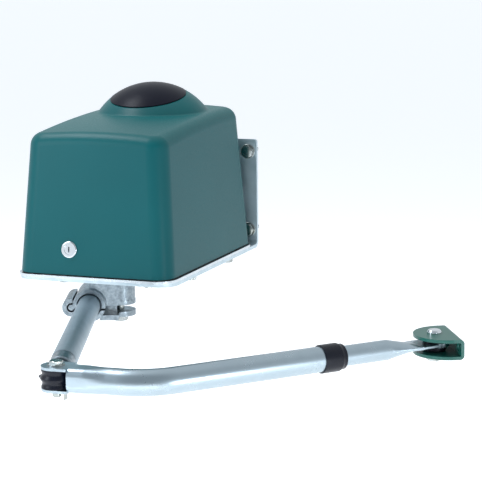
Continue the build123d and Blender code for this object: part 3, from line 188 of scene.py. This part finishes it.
soft_lamp("ceiling", (-0.1, -0.1, 1.5), (0, -0.25, 0.1), width=1.8, height=1.4, power=20, code="#fff3e2",
          glints=False)
soft_lamp("roof_window", (-0.65, -0.4, 1.4), (-0.04, -0.35, 0.1), width=0.9, height=0.4, power=10,
          code="#f4f8ff")
soft_lamp("left_window", (-0.9, -1.5, 0.5), (-0.05, -0.33, 0), width=0.5, height=0.9, power=7,
          code="#eaf5ff")
soft_lamp("right_strip", (1.26, -0.95, -0.22), (0.06, -0.43, -0.1), width=0.12, height=0.3, power=2.5,
          code="#f2f8ff")
soft_lamp("table_glow", (0.3, -1.5, -0.3), (0.1, -0.3, -0.1), width=1.2, height=0.3, power=8,
          code="#ffffff", glints=False)
print("lamps:", len(bpy.data.lights))

# %% [markdown]
# ## The pale floor
# The opener hangs on a post, so the floor lies well below it. It is one large face: big enough that its far
# edge is the horizon. A little light of its own takes the floor to the photograph's pure white without
# lamps so strong that the object would burn out.

# %% Floor
floor_level = -0.42
floor_reach = 60
floor_glow = 0.36

floor_mesh = bmesh.new()
bmesh.ops.create_grid(floor_mesh, x_segments=1, y_segments=1, size=floor_reach)
bmesh.ops.translate(floor_mesh, verts=floor_mesh.verts, vec=(0, 0, floor_level))
floor_data = bpy.data.meshes.new("table")
floor_mesh.to_mesh(floor_data)
floor_mesh.free()
floor = bpy.data.objects.new("table", floor_data)
bpy.context.scene.collection.objects.link(floor)
matt_white, tree, place = start_material("matt_white_table")
finish_material(tree, add_node(tree, "BsdfPrincipled", {
    "Base Color": colour("#f2f6fb"), "Roughness": 0.9,
    "Emission Color": colour("#ffffff"), "Emission Strength": floor_glow}))
floor_data.materials.append(matt_white)
print("floor at", floor_level)

# %% [markdown]
# ## Moulded plastics
# The cover is an outdoor plastic with a fine spark-eroded grain. The grain spreads reflections into a satin
# sheen, and its colour shifts a little from place to place. Real grain is about 0.3 mm, too fine to show
# from here, so it is drawn about five times as coarse and very shallow. One noise makes the slow clouds of
# colour, and a fine one drives sheen and bump together, because each pit of the mould leaves a spot that is
# both higher and duller. The cap and the black guides are the same kind of moulding, polished more or less.

# %% Moulded plastic
plastic_index = 1.5
plastic_clouds_per_metre = 9


def moulded(name, code, other_code, roughness, grain_mm, depth_mm, shine=0.5):
    """Moulded plastic with a shallow grain and a slow change of tone."""
    material, tree, place = start_material(name)
    cloud = add_node(tree, "TexNoise", {"Vector": place, "Scale": plastic_clouds_per_metre, "Detail": 2})
    tone = add_node(tree, "Mix", {
        "Factor": cloud.outputs["Fac"], "A": colour(code), "B": colour(other_code)}, data_type="RGBA")
    grain = add_node(tree, "TexNoise", {"Vector": place, "Scale": 1 / (grain_mm * mm), "Detail": 2})
    sheen = add_node(tree, "MapRange", {
        "Value": grain.outputs["Fac"], "From Min": 0.3, "From Max": 0.7,
        "To Min": roughness - 0.04, "To Max": roughness + 0.06})
    bump = add_node(tree, "Bump", {
        "Height": grain.outputs["Fac"], "Strength": 0.3, "Distance": depth_mm * mm})
    finish_material(tree, add_node(tree, "BsdfPrincipled", {
        "Base Color": tone.outputs["Result"], "Roughness": sheen.outputs["Result"],
        "Normal": bump.outputs["Normal"], "IOR": plastic_index, "Specular IOR Level": shine}))
    return material


# Grained outdoor plastic: a deep sea green with a soft, wide sheen
cover_plastic = moulded("green_grained_plastic", "#055358", "#044c51", roughness=0.36, grain_mm=1.6,
                        depth_mm=0.1, shine=0.22)
# Satin black plastic: nearly no colour, and a faint broad light on top
cap_plastic = moulded("black_satin_plastic", "#0a0d19", "#0c0f1c", roughness=0.34, grain_mm=1.2,
                      depth_mm=0.05, shine=0.12)
# Nylon, moulded in black: slightly blue and waxy
guide_nylon = moulded("black_nylon", "#080b16", "#0a0e1a", roughness=0.3, grain_mm=1.4, depth_mm=0.06,
                      shine=0.3)
# Foam rubber: dull, with open pores
seal_rubber = moulded("black_foam_rubber", "#0c0f11", "#131617", roughness=0.8, grain_mm=1.0,
                      depth_mm=0.3)
# Nylon, moulded in dark grey: plain and a little dull
gland_nylon = moulded("grey_black_nylon", "#1c1d1f", "#232426", roughness=0.5, grain_mm=1.4,
                      depth_mm=0.06)
# Phenolic resin: a brownish black, pressed and dry
switch_phenolic = moulded("dark_phenolic", "#1b1614", "#241e1a", roughness=0.45, grain_mm=1.0,
                          depth_mm=0.05)
# Acetal: a signal red, smooth and hard
lever_acetal = moulded("red_acetal", "#b3201a", "#a31b16", roughness=0.32, grain_mm=1.4, depth_mm=0.04)
# Polyamide: the green of a terminal strip, satin
terminal_polyamide = moulded("green_polyamide", "#1f7d47", "#1b7040", roughness=0.45, grain_mm=1.2,
                             depth_mm=0.05)
print("plastics made")

# %% [markdown]
# ## Plated and bare metals
# The tubes and sheets are zinc plated: a thin bright grey metal, a little blue, drawn or rolled before
# plating, so very fine lines run along it and the sheen is uneven. Stretched noise makes the lines of the
# tubes, with its long side along the piece, and plain noise the fine relief of the rest. A metal's own
# colour is the colour of its reflection, so the base colours here are light. The few bare metals differ only
# in colour, sheen and depth of relief, so the same function makes them.

# %% Plated and bare metals
blotches_per_metre = 60
no_stretch = (1, 1, 1)
along_tube = (0.04, 1, 1)
along_height = (1, 1, 0.05)
crank_turn = radians(-69.7)
reach_turn = radians(48.7)


def plated(name, code, other_code, roughness, line_mm, stretch=no_stretch, turn=0.0, depth_mm=0.02,
           spread=0.08):
    """Metal with a fine relief, stretched into lines where it was drawn, and slow blotches in its sheen."""
    material, tree, place = start_material(name)
    along = add_node(tree, "Mapping", {"Vector": place, "Rotation": (0, 0, -turn), "Scale": stretch})
    lines = add_node(tree, "TexNoise", {
        "Vector": along.outputs["Vector"], "Scale": 1 / (line_mm * mm), "Detail": 3})
    blotches = add_node(tree, "TexNoise", {"Vector": place, "Scale": blotches_per_metre, "Detail": 4})
    tone = add_node(tree, "Mix", {
        "Factor": blotches.outputs["Fac"], "A": colour(code), "B": colour(other_code)}, data_type="RGBA")
    sheen = add_node(tree, "MapRange", {
        "Value": blotches.outputs["Fac"], "From Min": 0.3, "From Max": 0.7,
        "To Min": roughness - spread / 2, "To Max": roughness + spread / 2})
    bump = add_node(tree, "Bump", {
        "Height": lines.outputs["Fac"], "Strength": 0.4, "Distance": depth_mm * mm})
    finish_material(tree, add_node(tree, "BsdfPrincipled", {
        "Base Color": tone.outputs["Result"], "Metallic": 1.0, "Roughness": sheen.outputs["Result"],
        "Normal": bump.outputs["Normal"]}))
    return material


# Zinc on drawn tube: clear bands of light along it
tube_zinc = plated("zinc_plated_tube", "#b6c5cd", "#a9b8c1", roughness=0.3, line_mm=0.9,
                   stretch=along_tube, turn=reach_turn)
# Older zinc on the crank: greyer and duller
crank_zinc = plated("zinc_plated_crank", "#a9b7bf", "#9aa9b2", roughness=0.48, line_mm=0.9,
                    stretch=along_tube, turn=crank_turn)
# Zinc on rolled sheet: dull, with cloudy patches
sheet_zinc = plated("zinc_plated_sheet", "#d6e3e9", "#c5d5dd", roughness=0.5, line_mm=1.2, spread=0.14)
# Bright zinc on the tray: nearly white beside the table
tray_zinc = plated("bright_plated_sheet", "#dfe5e9", "#cfd8dd", roughness=0.28, line_mm=1.2, spread=0.1)
# Passivated zinc on bolts: a faint yellow
bolt_zinc = plated("yellow_zinc_bolt", "#adb1a4", "#a0a6ad", roughness=0.24, line_mm=0.6, spread=0.1)
# Ground steel: clean, with lines from the wheel
ground_steel = plated("ground_steel", "#c9cbcd", "#bbbec1", roughness=0.2, line_mm=0.5,
                      stretch=along_height, depth_mm=0.01)
# Chrome on the lock and the gate bolt: almost a mirror
chrome_plate = plated("chrome_plate", "#e8ecef", "#dfe4e8", roughness=0.07, line_mm=0.8, depth_mm=0.004,
                      spread=0.04)
# Bronze of the worm wheel: warm and slightly rough
wheel_bronze = plated("cast_bronze", "#c08a4a", "#b07c40", roughness=0.35, line_mm=0.7, depth_mm=0.03)
# Aluminium can, drawn upwards: pale, with upright lines
can_aluminium = plated("drawn_aluminium", "#d5d8db", "#c9cdd1", roughness=0.3, line_mm=0.6,
                       stretch=along_height)
print("plated and bare metals made")

# %% [markdown]
# ## Cast metal
# The clamp and the gearbox are castings. Their skin is slightly pebbled, from the die or the sand, and
# duller in the pits than on the high spots, so one noise can drive the colour, the sheen and the bump
# together.

# %% Cast metal
pit_dullness = 0.15


def cast(name, code, pit_code, roughness, pebble_mm, depth_mm):
    """Cast metal: high spots lighter and smoother than the pits."""
    material, tree, place = start_material(name)
    pebbles = add_node(tree, "TexNoise", {"Vector": place, "Scale": 1 / (pebble_mm * mm), "Detail": 4})
    high = add_node(tree, "MapRange", {"Value": pebbles.outputs["Fac"], "From Min": 0.35, "From Max": 0.65})
    tone = add_node(tree, "Mix", {
        "Factor": high.outputs["Result"], "A": colour(pit_code), "B": colour(code)}, data_type="RGBA")
    sheen = add_node(tree, "MapRange", {
        "Value": high.outputs["Result"], "To Min": roughness + pit_dullness, "To Max": roughness})
    bump = add_node(tree, "Bump", {
        "Height": pebbles.outputs["Fac"], "Strength": 0.5, "Distance": depth_mm * mm})
    finish_material(tree, add_node(tree, "BsdfPrincipled", {
        "Base Color": tone.outputs["Result"], "Metallic": 1.0, "Roughness": sheen.outputs["Result"],
        "Normal": bump.outputs["Normal"]}))
    return material


# Zinc-coated castings of the clamp and the crank's eye: mottled blue grey
clamp_cast = cast("cast_clamp_metal", "#98a4ab", "#7f8a91", roughness=0.28, pebble_mm=4.0, depth_mm=0.12)
# Die-cast aluminium of the gearbox: even, light and matt
gear_cast = cast("die_cast_aluminium", "#b9bdc0", "#a3a8ab", roughness=0.42, pebble_mm=2.5, depth_mm=0.1)
# Varnished core plates of the transformer: dark brown with a dull gloss
core_steel = cast("varnished_core_steel", "#4a4038", "#2e2823", roughness=0.45, pebble_mm=1.0,
                  depth_mm=0.08)
print("castings made")

# %% [markdown]
# ## Enamel and lacquer
# The gate bracket is sprayed with green enamel, the motor with black, and the board is coated with green
# lacquer. Paint is a coloured layer with a slight orange-peel surface a few millimetres across. Where it is
# glossy, a coat on the shader gives the gloss its own sharpness.

# %% Enamel and lacquer
paint_index = 1.5
paint_clouds_per_metre = 30
coat_roughness = 0.12


def enamel(name, code, other_code, roughness, peel_mm=3.0, depth_mm=0.04, coat=0.6):
    """Sprayed enamel or lacquer with a faint orange peel."""
    material, tree, place = start_material(name)
    cloud = add_node(tree, "TexNoise", {"Vector": place, "Scale": paint_clouds_per_metre, "Detail": 3})
    tone = add_node(tree, "Mix", {
        "Factor": cloud.outputs["Fac"], "A": colour(code), "B": colour(other_code)}, data_type="RGBA")
    peel = add_node(tree, "TexNoise", {"Vector": place, "Scale": 1 / (peel_mm * mm), "Detail": 1})
    bump = add_node(tree, "Bump", {
        "Height": peel.outputs["Fac"], "Strength": 0.4, "Distance": depth_mm * mm})
    finish_material(tree, add_node(tree, "BsdfPrincipled", {
        "Base Color": tone.outputs["Result"], "Roughness": roughness, "Normal": bump.outputs["Normal"],
        "IOR": paint_index, "Coat Weight": coat, "Coat Roughness": coat_roughness}))
    return material


# Green enamel without a clear coat: satin
bracket_enamel = enamel("green_enamel", "#04544b", "#034a42", roughness=0.32, peel_mm=3.0, depth_mm=0.03,
                        coat=0.0)
# Black enamel: glossy over the motor's can
motor_enamel = enamel("black_enamel", "#17181a", "#1e1f21", roughness=0.4)
# Solder lacquer: a thin glossy green over the board
board_lacquer = enamel("green_solder_lacquer", "#0d5a34", "#0a4b2b", roughness=0.3, peel_mm=1.5,
                       depth_mm=0.03)
print("paints made")

# %% [markdown]
# ## A finish for every piece of the frame
# Each construction node keeps its shape and gets its own finish, by clearing its material slots and adding
# one. The table reads like a parts list: finish on the left, pieces on the right.

# %% Give every node its finish
finishes = {
    cover_plastic: ["cover"],
    cap_plastic: ["dome_cap"],
    seal_rubber: ["cover_seal", "shaft_seal"],
    sheet_zinc: ["mounting_bracket", "front_stiffener", "rear_stiffener", "lock_catch", "switch_bracket",
                 "board_carrier"],
    tray_zinc: ["base_tray"],
    bolt_zinc: ["post_bolts", "post_washers", "plate_bolts", "gearbox_bolts", "clamp_bolt", "elbow_bolt",
                "gate_nut", "lid_screws", "elbow_clip", "lock_nut", "lock_cam", "release_pin"],
    chrome_plate: ["lock_body", "lock_plug", "gate_bolt"],
    gland_nylon: ["cable_gland", "gland_nut"],
    gear_cast: ["gearbox_housing", "gearbox_lid"],
    ground_steel: ["shaft_bearings", "worm_bearings", "output_shaft", "motor_worm", "elbow_sleeve"],
    wheel_bronze: ["worm_wheel"],
    switch_phenolic: ["limit_cams", "limit_switches", "board_posts", "board_parts"],
    lever_acetal: ["release_lever"],
    motor_enamel: ["motor_can", "motor_end_cap"],
    core_steel: ["transformer"],
    can_aluminium: ["capacitor"],
    board_lacquer: ["control_board"],
    terminal_polyamide: ["terminal_block"],
    clamp_cast: ["clamp_body", "clamp_strap", "crank_eye"],
    crank_zinc: ["crank_tube"],
    tube_zinc: ["outer_tube", "inner_tube"],
    guide_nylon: ["elbow_shell_upper", "elbow_shell_lower", "slide_collar", "blade_bushes"],
    bracket_enamel: ["gate_bracket"],
}
for finish, names in finishes.items():
    for name in names:
        nodes[name].data.materials.clear()
        nodes[name].data.materials.append(finish)
finished = {name for names in finishes.values() for name in names}
print("nodes without a finish:", sorted(set(nodes) - finished))

# %% [markdown]
# ## From a mesh to a piece in the scene
# Every new piece goes the same way: its bmesh becomes an object at the origin, smooth across gentle angles
# and crisp across sharp ones, then it is told which body it rides on, and the construction nodes that it
# stands for are hidden.

# %% Helpers that present a piece
crisp_angle = radians(32)


def to_piece(mesh, name, finish):
    """Turns a bmesh into an object at the origin with one finish."""
    data = bpy.data.meshes.new(name)
    mesh.to_mesh(data)
    mesh.free()
    data.materials.append(finish)
    data.shade_smooth()
    data.set_sharp_from_angle(angle=crisp_angle)
    piece = bpy.data.objects.new(name, data)
    bpy.context.scene.collection.objects.link(piece)
    return piece


def present(piece, body, names):
    """Makes a piece ride on its body, and hides the nodes it stands for."""
    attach(piece, body)
    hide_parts(*names)
    return piece


# %% [markdown]
# ## Pieces built again from their own meshes
# Real pressed, cast and moulded pieces have no knife edges: every edge is rounded by the tool that made it,
# and catches a thin line of light. A copy of the construction mesh can be given such edges. Its loose
# triangles are first merged, the triangles of each flat side are joined into one face, and the sharp edges
# that are left are bevelled. A Bevel modifier would do the same, but the operator shows its steps and
# leaves a plain mesh. How wide each edge is follows from how the piece is made: wide on castings, narrow on
# thin sheet.

# %% Soften the edges of cast, folded and drawn pieces
merge_distance = 0.002 * mm
flat_angle = radians(0.5)
sharp_angle = radians(35)
edge_segments = 2
edge_widths_mm = {
    "drive": {"mounting_bracket": 0.6, "front_stiffener": 0.5, "rear_stiffener": 0.5, "base_tray": 0.5,
              "board_carrier": 0.3, "gearbox_housing": 0.8, "gearbox_lid": 0.8, "motor_can": 0.6,
              "motor_end_cap": 0.6, "transformer": 0.6, "board_parts": 0.5, "terminal_block": 0.3,
              "switch_bracket": 0.3, "limit_switches": 0.4, "lock_catch": 0.3, "cable_gland": 0.4,
              "gland_nut": 0.5},
    "crank": {"clamp_body": 1.2, "clamp_strap": 1.2, "crank_eye": 0.8, "crank_tube": 0.4},
    "outer_arm": {"outer_tube": 0.8, "slide_collar": 0.5, "elbow_clip": 0.3},
    "inner_arm": {"inner_tube": 0.5, "blade_bushes": 0.5},
    "gate_bracket": {"gate_bracket": 0.8, "gate_nut": 0.5},
    "release": {"release_lever": 0.8},
}


def merged_copy(node):
    """A bmesh of a node with its loose triangles merged."""
    mesh = bmesh.new()
    mesh.from_mesh(nodes[node].data)
    bmesh.ops.remove_doubles(mesh, verts=mesh.verts, dist=merge_distance)
    return mesh


def soften(node, body, edge_mm):
    """A copy of a node whose flat sides are joined and whose sharp edges are rounded."""
    mesh = merged_copy(node)
    bmesh.ops.dissolve_limit(mesh, angle_limit=flat_angle, verts=mesh.verts, edges=mesh.edges)
    sharp = [edge for edge in mesh.edges
             if len(edge.link_faces) == 2 and edge.calc_face_angle() > sharp_angle]
    bmesh.ops.bevel(mesh, geom=sharp, offset=edge_mm * mm, offset_type="OFFSET", segments=edge_segments,
                    profile=0.5, affect="EDGES", clamp_overlap=True, material=-1)
    piece = to_piece(mesh, node + "_soft", nodes[node].data.materials[0])
    piece.modifiers.new("even_shading", "WEIGHTED_NORMAL").keep_sharp = True
    return present(piece, body, [node])


for body, widths in edge_widths_mm.items():
    for node, width in widths.items():
        piece = soften(node, body, width)
        print(piece.name, len(piece.data.vertices), "points")

# %% [markdown]
# ## Turned pieces
# Bolts, washers and screws are turned on a lathe, so the script turns them too: a few points give half of
# the section, and a full spin about the axis makes the solid. Where the profile touches the axis, the spin
# leaves many points in one place, and they are merged before the normals are worked out.

# %% Helper for turned pieces
spin_merge_distance = 0.001 * mm
turned_sides = 48


def turned(profile, steps=turned_sides):
    """A closed solid spun from (radius, height) points in millimetres that start and end on the axis."""
    mesh = bmesh.new()
    points = [mesh.verts.new((radius * mm, 0, height * mm)) for radius, height in profile]
    edges = [mesh.edges.new(pair) for pair in zip(points, points[1:])]
    bmesh.ops.spin(mesh, geom=points + edges, cent=(0, 0, 0), axis=(0, 0, 1), angle=2 * pi, steps=steps,
                   use_merge=True)
    bmesh.ops.remove_doubles(mesh, verts=mesh.verts, dist=spin_merge_distance)
    bmesh.ops.recalc_face_normals(mesh, faces=mesh.faces)
    return mesh


print("a turned piece has", turned_sides, "sides")

# %% [markdown]
# ## Six flats on a turned head
# A hexagon head is turned first, which leaves a chamfered disc, and then milled to six flats, which is why
# every real head shows six arcs at its top. Cutting a spun disc with six planes gives the same arcs, and
# each cut leaves an open rim that is filled at once.

# %% Helper that mills the flats
cut_tolerance = 0.0001 * mm


def mill_flats(mesh, flats):
    """Cuts six flats on a turned head and closes each cut."""
    for side in range(6):
        turn = side * pi / 3
        outward = Vector((cos(turn), sin(turn), 0))
        cut = bmesh.ops.bisect_plane(mesh, geom=mesh.verts[:] + mesh.edges[:] + mesh.faces[:],
                                     dist=cut_tolerance, plane_co=outward * flats / 2 * mm,
                                     plane_no=outward, clear_outer=True)
        rim = [part for part in cut["geom_cut"] if isinstance(part, bmesh.types.BMEdge)]
        bmesh.ops.edgenet_fill(mesh, edges=rim)
    bmesh.ops.recalc_face_normals(mesh, faces=mesh.faces)


print("flats are cut within", cut_tolerance / mm, "mm")

# %% [markdown]
# ## The thread
# Threads this fine are drawn as rings of the right pitch: from here nobody can tell a ring from a helix,
# and a ring closes by itself. Each turn has a root and a short flat crest, given as shares of the pitch.

# %% Helper for threads
thread_pitch, thread_depth = 1.5, 0.9
root_share, crest_start_share, crest_end_share = 0.1, 0.45, 0.65


def thread_profile(radius, start, end):
    """Zigzag points of a thread that runs down from start to end, in millimetres."""
    root = radius - thread_depth
    points = []
    for turn in range(int((start - end) / thread_pitch)):
        top = start - turn * thread_pitch
        points += [(root, top - thread_pitch * root_share), (radius, top - thread_pitch * crest_start_share),
                   (radius, top - thread_pitch * crest_end_share)]
    return points + [(root, end)]


print("points in 10 mm of thread:", len(thread_profile(5, 0, -10)))

# %% [markdown]
# ## A whole bolt
# The head has six flats and the rest is round, so they are made apart and put into one mesh. A washer is
# only a wider step at the top of the round part. Every edge that a lathe would break has its own small
# chamfer.

# %% Helper for bolts
disc_share, disc_edge_share, disc_edge_drop, chamfer_share = 0.46, 0.475, 0.15, 0.07
washer_edge, thread_runout, tip_chamfer = 0.4, 1.2, 1.0


def bolt(flats, head, shank, length, washer=0.0, washer_thick=0.0, thread=None):
    """A hexagon bolt that stands on its head's seat: head above zero, washer and shank below."""
    corner = flats / 2 / cos(pi / 6)
    mesh = turned([(0, head), (flats * disc_share, head), (flats * disc_edge_share, head - disc_edge_drop),
                   (corner, head - flats * chamfer_share), (corner, 0), (0, 0)])
    mill_flats(mesh, flats)
    if washer:
        body = [(0, 0), (washer / 2 - washer_edge, 0), (washer / 2, -washer_edge),
                (washer / 2, -washer_thick), (shank / 2, -washer_thick)]
    else:
        body = [(0, 0), (shank / 2, 0)]
    if thread:
        body += [(shank / 2, -thread)] + thread_profile(shank / 2, -thread, -length + thread_runout)
    else:
        body += [(shank / 2, -length + tip_chamfer)]
    rest = turned(body + [(shank / 2 - tip_chamfer, -length), (0, -length)])
    holder = bpy.data.meshes.new("shank")
    rest.to_mesh(holder)
    rest.free()
    mesh.from_mesh(holder)
    bpy.data.meshes.remove(holder)
    return mesh


print("edges are broken by", washer_edge, "mm on a washer and", tip_chamfer, "mm at a tip")

# %% [markdown]
# ## Where the bolts sit
# Each bolt is a separate solid of its node, so the node's own mesh says where the bolts are and how long.
# The script walks from point to point along the edges to find each solid, measures it, and puts a copy of
# one sample bolt in each place. Each bolt is also turned a little further than the last, as a spanner
# leaves them.

# %% Helpers that find solids and place copies
def islands(node):
    """The low and high corners of each separate solid of a node, in metres."""
    mesh = merged_copy(node)
    left, boxes = set(mesh.verts), []
    while left:
        group, waiting = set(), [left.pop()]
        while waiting:
            point = waiting.pop()
            group.add(point)
            near = {edge.other_vert(point) for edge in point.link_edges} & left
            left -= near
            waiting += near
        low = Vector([min(point.co[i] for point in group) for i in range(3)])
        high = Vector([max(point.co[i] for point in group) for i in range(3)])
        boxes.append((low, high))
    mesh.free()
    return sorted(boxes, key=lambda box: tuple(box[0]))


def copies(sample, places, name, body, names):
    """One zinc-plated piece made of copies of a bmesh, each moved by its own matrix."""
    holder = bpy.data.meshes.new(name + "_one")
    sample.to_mesh(holder)
    sample.free()
    every = bmesh.new()
    for matrix in places:
        before = len(every.verts)
        every.from_mesh(holder)
        every.verts.ensure_lookup_table()
        bmesh.ops.transform(every, matrix=matrix, verts=every.verts[before:])
    bpy.data.meshes.remove(holder)
    return present(to_piece(every, name, bolt_zinc), body, names)


print("post bolts:", len(islands("post_bolts")))

# %% [markdown]
# ## The four bolts in the post
# These go through the wall plate into the post, with their heads in front. Head, washer and thread are one
# piece here, because they never move apart, and the thread starts just behind the plate.

# %% Post bolts and their washers
m10_flats, m10_head, m10_shank = 17.0, 6.4, 10.0
post_shank = 9.6
thread_gap = 1
facing_front = Matrix.Rotation(pi / 2, 4, "X")
post_spanner_turn = radians(17)

boxes = islands("post_bolts")
washer_low, washer_high = islands("post_washers")[0]
washer_thick = (washer_high.y - washer_low.y) / mm
washer_size = (washer_high.x - washer_low.x) / mm
post_length = (boxes[0][1].y - boxes[0][0].y) / mm - m10_head
thread_start = -washer_high.y / mm + washer_thick + thread_gap
places = []
for number, (low, high) in enumerate(boxes):
    seat = ((low.x + high.x) / 2, low.y + m10_head * mm, (low.z + high.z) / 2)
    spanner = Matrix.Rotation(post_spanner_turn * number, 4, "Z")
    places.append(Matrix.Translation(seat) @ facing_front @ spanner)
copies(bolt(m10_flats, m10_head, post_shank, post_length, washer_size, washer_thick, thread_start),
       places, "post_bolts_turned", "drive", ["post_bolts", "post_washers"])
print("post bolts:", len(places), "with", round(post_length, 1), "mm under the head")

# %% [markdown]
# ## The bolts under the tray
# The plate bolts and the gearbox bolts hang head down under the shelf, where the photograph shows the plate
# bolts as small bumps below the tray. They need no washer and show no thread, so they are the plain kind.

# %% Plate bolts and gearbox bolts
m8_flats, m8_head, m8_shank = 13.0, 5.5, 8.0
facing_down = Matrix.Rotation(pi, 4, "X")
tray_spanner_turn = radians(23)

for node in ("plate_bolts", "gearbox_bolts"):
    boxes = islands(node)
    length = (boxes[0][1].z - boxes[0][0].z) / mm - m8_head
    places = []
    for number, (low, high) in enumerate(boxes):
        seat = ((low.x + high.x) / 2, (low.y + high.y) / 2, low.z + m8_head * mm)
        spanner = Matrix.Rotation(tray_spanner_turn * number, 4, "Z")
        places.append(Matrix.Translation(seat) @ facing_down @ spanner)
    copies(bolt(m8_flats, m8_head, m8_shank, length), places, node + "_turned", "drive", [node])
    print(node, len(places), "with", round(length, 1), "mm under the head")

# %% [markdown]
# ## The clamp's bolt and the elbow's bolt
# The clamp's bolt goes up through the strap from below, on a washer. The elbow's has a flange under a low
# head, so the same function makes it, with the flange in the washer's place.

# %% Clamp bolt and elbow bolt
clamp_washer_thick = 2.0
elbow_flats, elbow_head, elbow_flange_thick = 15.0, 3.8, 1.6
elbow_spanner_turn = radians(20)


def measured(box):
    """The middle of a box seen from above, its bottom and top in metres, and its width in millimetres."""
    low, high = box
    return ((low[0] + high[0]) / 2, (low[1] + high[1]) / 2), low[2], high[2], (high[0] - low[0]) / mm


middle, bottom, top, width = measured(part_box("clamp_bolt"))
place = Matrix.Translation((*middle, bottom + m10_head * mm)) @ facing_down
copies(bolt(m10_flats, m10_head, m10_shank, (top - bottom) / mm - m10_head, width, clamp_washer_thick),
       [place], "clamp_bolt_turned", "crank", ["clamp_bolt"])

elbow_middle, bottom, top, width = measured(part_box("elbow_bolt"))
place = (Matrix.Translation((*elbow_middle, top - elbow_head * mm))
         @ Matrix.Rotation(elbow_spanner_turn, 4, "Z"))
copies(bolt(elbow_flats, elbow_head, m10_shank, (top - bottom) / mm - elbow_head, width, elbow_flange_thick),
       [place], "elbow_bolt_turned", "outer_arm", ["elbow_bolt"])
print("elbow bolt's flange:", round(width, 1), "mm")

# %% [markdown]
# ## Socket screws in the gearbox lid
# A socket screw is a plain turned cylinder with a recess in its head, so one spun profile makes it, recess
# and all. The recess is drawn round, because six flats a millimetre long can't be told from a circle here.

# %% Lid screws
screw_head, screw_height, screw_shank, screw_depth, screw_edge = 9.0, 5.0, 5.0, 15.0, 0.5
socket, socket_depth, socket_flare = 4.6, 2.6, 0.2
screw_steps = 32

screw = turned([(0, screw_height - socket_depth), (socket / 2, screw_height - socket_depth),
                (socket / 2 + socket_flare, screw_height), (screw_head / 2 - screw_edge, screw_height),
                (screw_head / 2, screw_height - screw_edge), (screw_head / 2, 0), (screw_shank / 2, 0),
                (screw_shank / 2, -screw_depth), (0, -screw_depth)], screw_steps)
places = [Matrix.Translation(((low.x + high.x) / 2, (low.y + high.y) / 2, high.z - screw_height * mm))
          for low, high in islands("lid_screws")]
copies(screw, places, "lid_screws_turned", "drive", ["lid_screws"])
print("lid screws:", len(places))

# %% [markdown]
# ## The elbow's bearing shells
# Two black nylon halves meet in a ridge at the height of the crank. Each half has a waist between its flat
# end and the ridge, and the ridge runs out to a small beak on the outer side. Spinning the half's section
# makes the ring, and moving the ridge's own points outwards, most in the middle of the beak, makes the
# beak. The lower half is the upper one mirrored, which turns its faces inside out, so its normals are
# worked out afterwards.

# %% Elbow bearing shells
shell_bore, shell_edge, shell_waist, shell_ridge, beak_reach = 8.1, 17.2, 15.9, 18.2, 21.6
ridge_top, waist_start, waist_middle, waist_end, shell_start = 0.6, 3.6, 5.2, 7.2, 9.2
waist_swell_below, waist_swell_above, shell_rounding = 0.5, 0.4, 0.4
beak_half_turn = radians(26)
shell_steps = 96
shell_low, shell_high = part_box("elbow_shell_upper")
shell_middle = Vector((*elbow_middle, shell_low[2]))
shell_half = (shell_high[2] - shell_low[2]) / mm


def shell_ring(side):
    """One half of the bearing with its beak towards -X; side is 1 for the upper half, -1 for the lower."""
    mesh = bmesh.new()
    section = [(shell_bore, 0), (shell_ridge, 0), (shell_ridge, ridge_top),
               (shell_waist + waist_swell_below, waist_start), (shell_waist, waist_middle),
               (shell_waist + waist_swell_above, waist_end), (shell_edge, shell_start),
               (shell_edge, shell_half - shell_rounding), (shell_edge - shell_rounding, shell_half),
               (shell_bore, shell_half)]
    points = [mesh.verts.new((radius * mm, 0, height * mm)) for radius, height in section]
    edges = [mesh.edges.new(pair) for pair in zip(points, points[1:] + points[:1])]
    bmesh.ops.spin(mesh, geom=points + edges, cent=(0, 0, 0), axis=(0, 0, 1), angle=2 * pi,
                   steps=shell_steps, use_merge=True)
    bmesh.ops.remove_doubles(mesh, verts=mesh.verts, dist=spin_merge_distance)
    for point in mesh.verts:
        radius = point.co.xy.length / mm
        turn = abs(atan2(point.co.y, -point.co.x))
        if radius > (shell_ridge + shell_edge) / 2 and turn < beak_half_turn:
            swell = cos(turn / beak_half_turn * pi / 2) ** 2
            point.co.xy *= (shell_ridge + (beak_reach - shell_ridge) * swell) / radius
    bmesh.ops.scale(mesh, verts=mesh.verts, vec=(1, 1, side))
    bmesh.ops.translate(mesh, verts=mesh.verts, vec=shell_middle)
    bmesh.ops.recalc_face_normals(mesh, faces=mesh.faces)
    return mesh


for side, node in ((1, "elbow_shell_upper"), (-1, "elbow_shell_lower")):
    present(to_piece(shell_ring(side), node + "_waisted", guide_nylon), "crank", [node])
print("each shell is", round(shell_half, 2), "mm high")
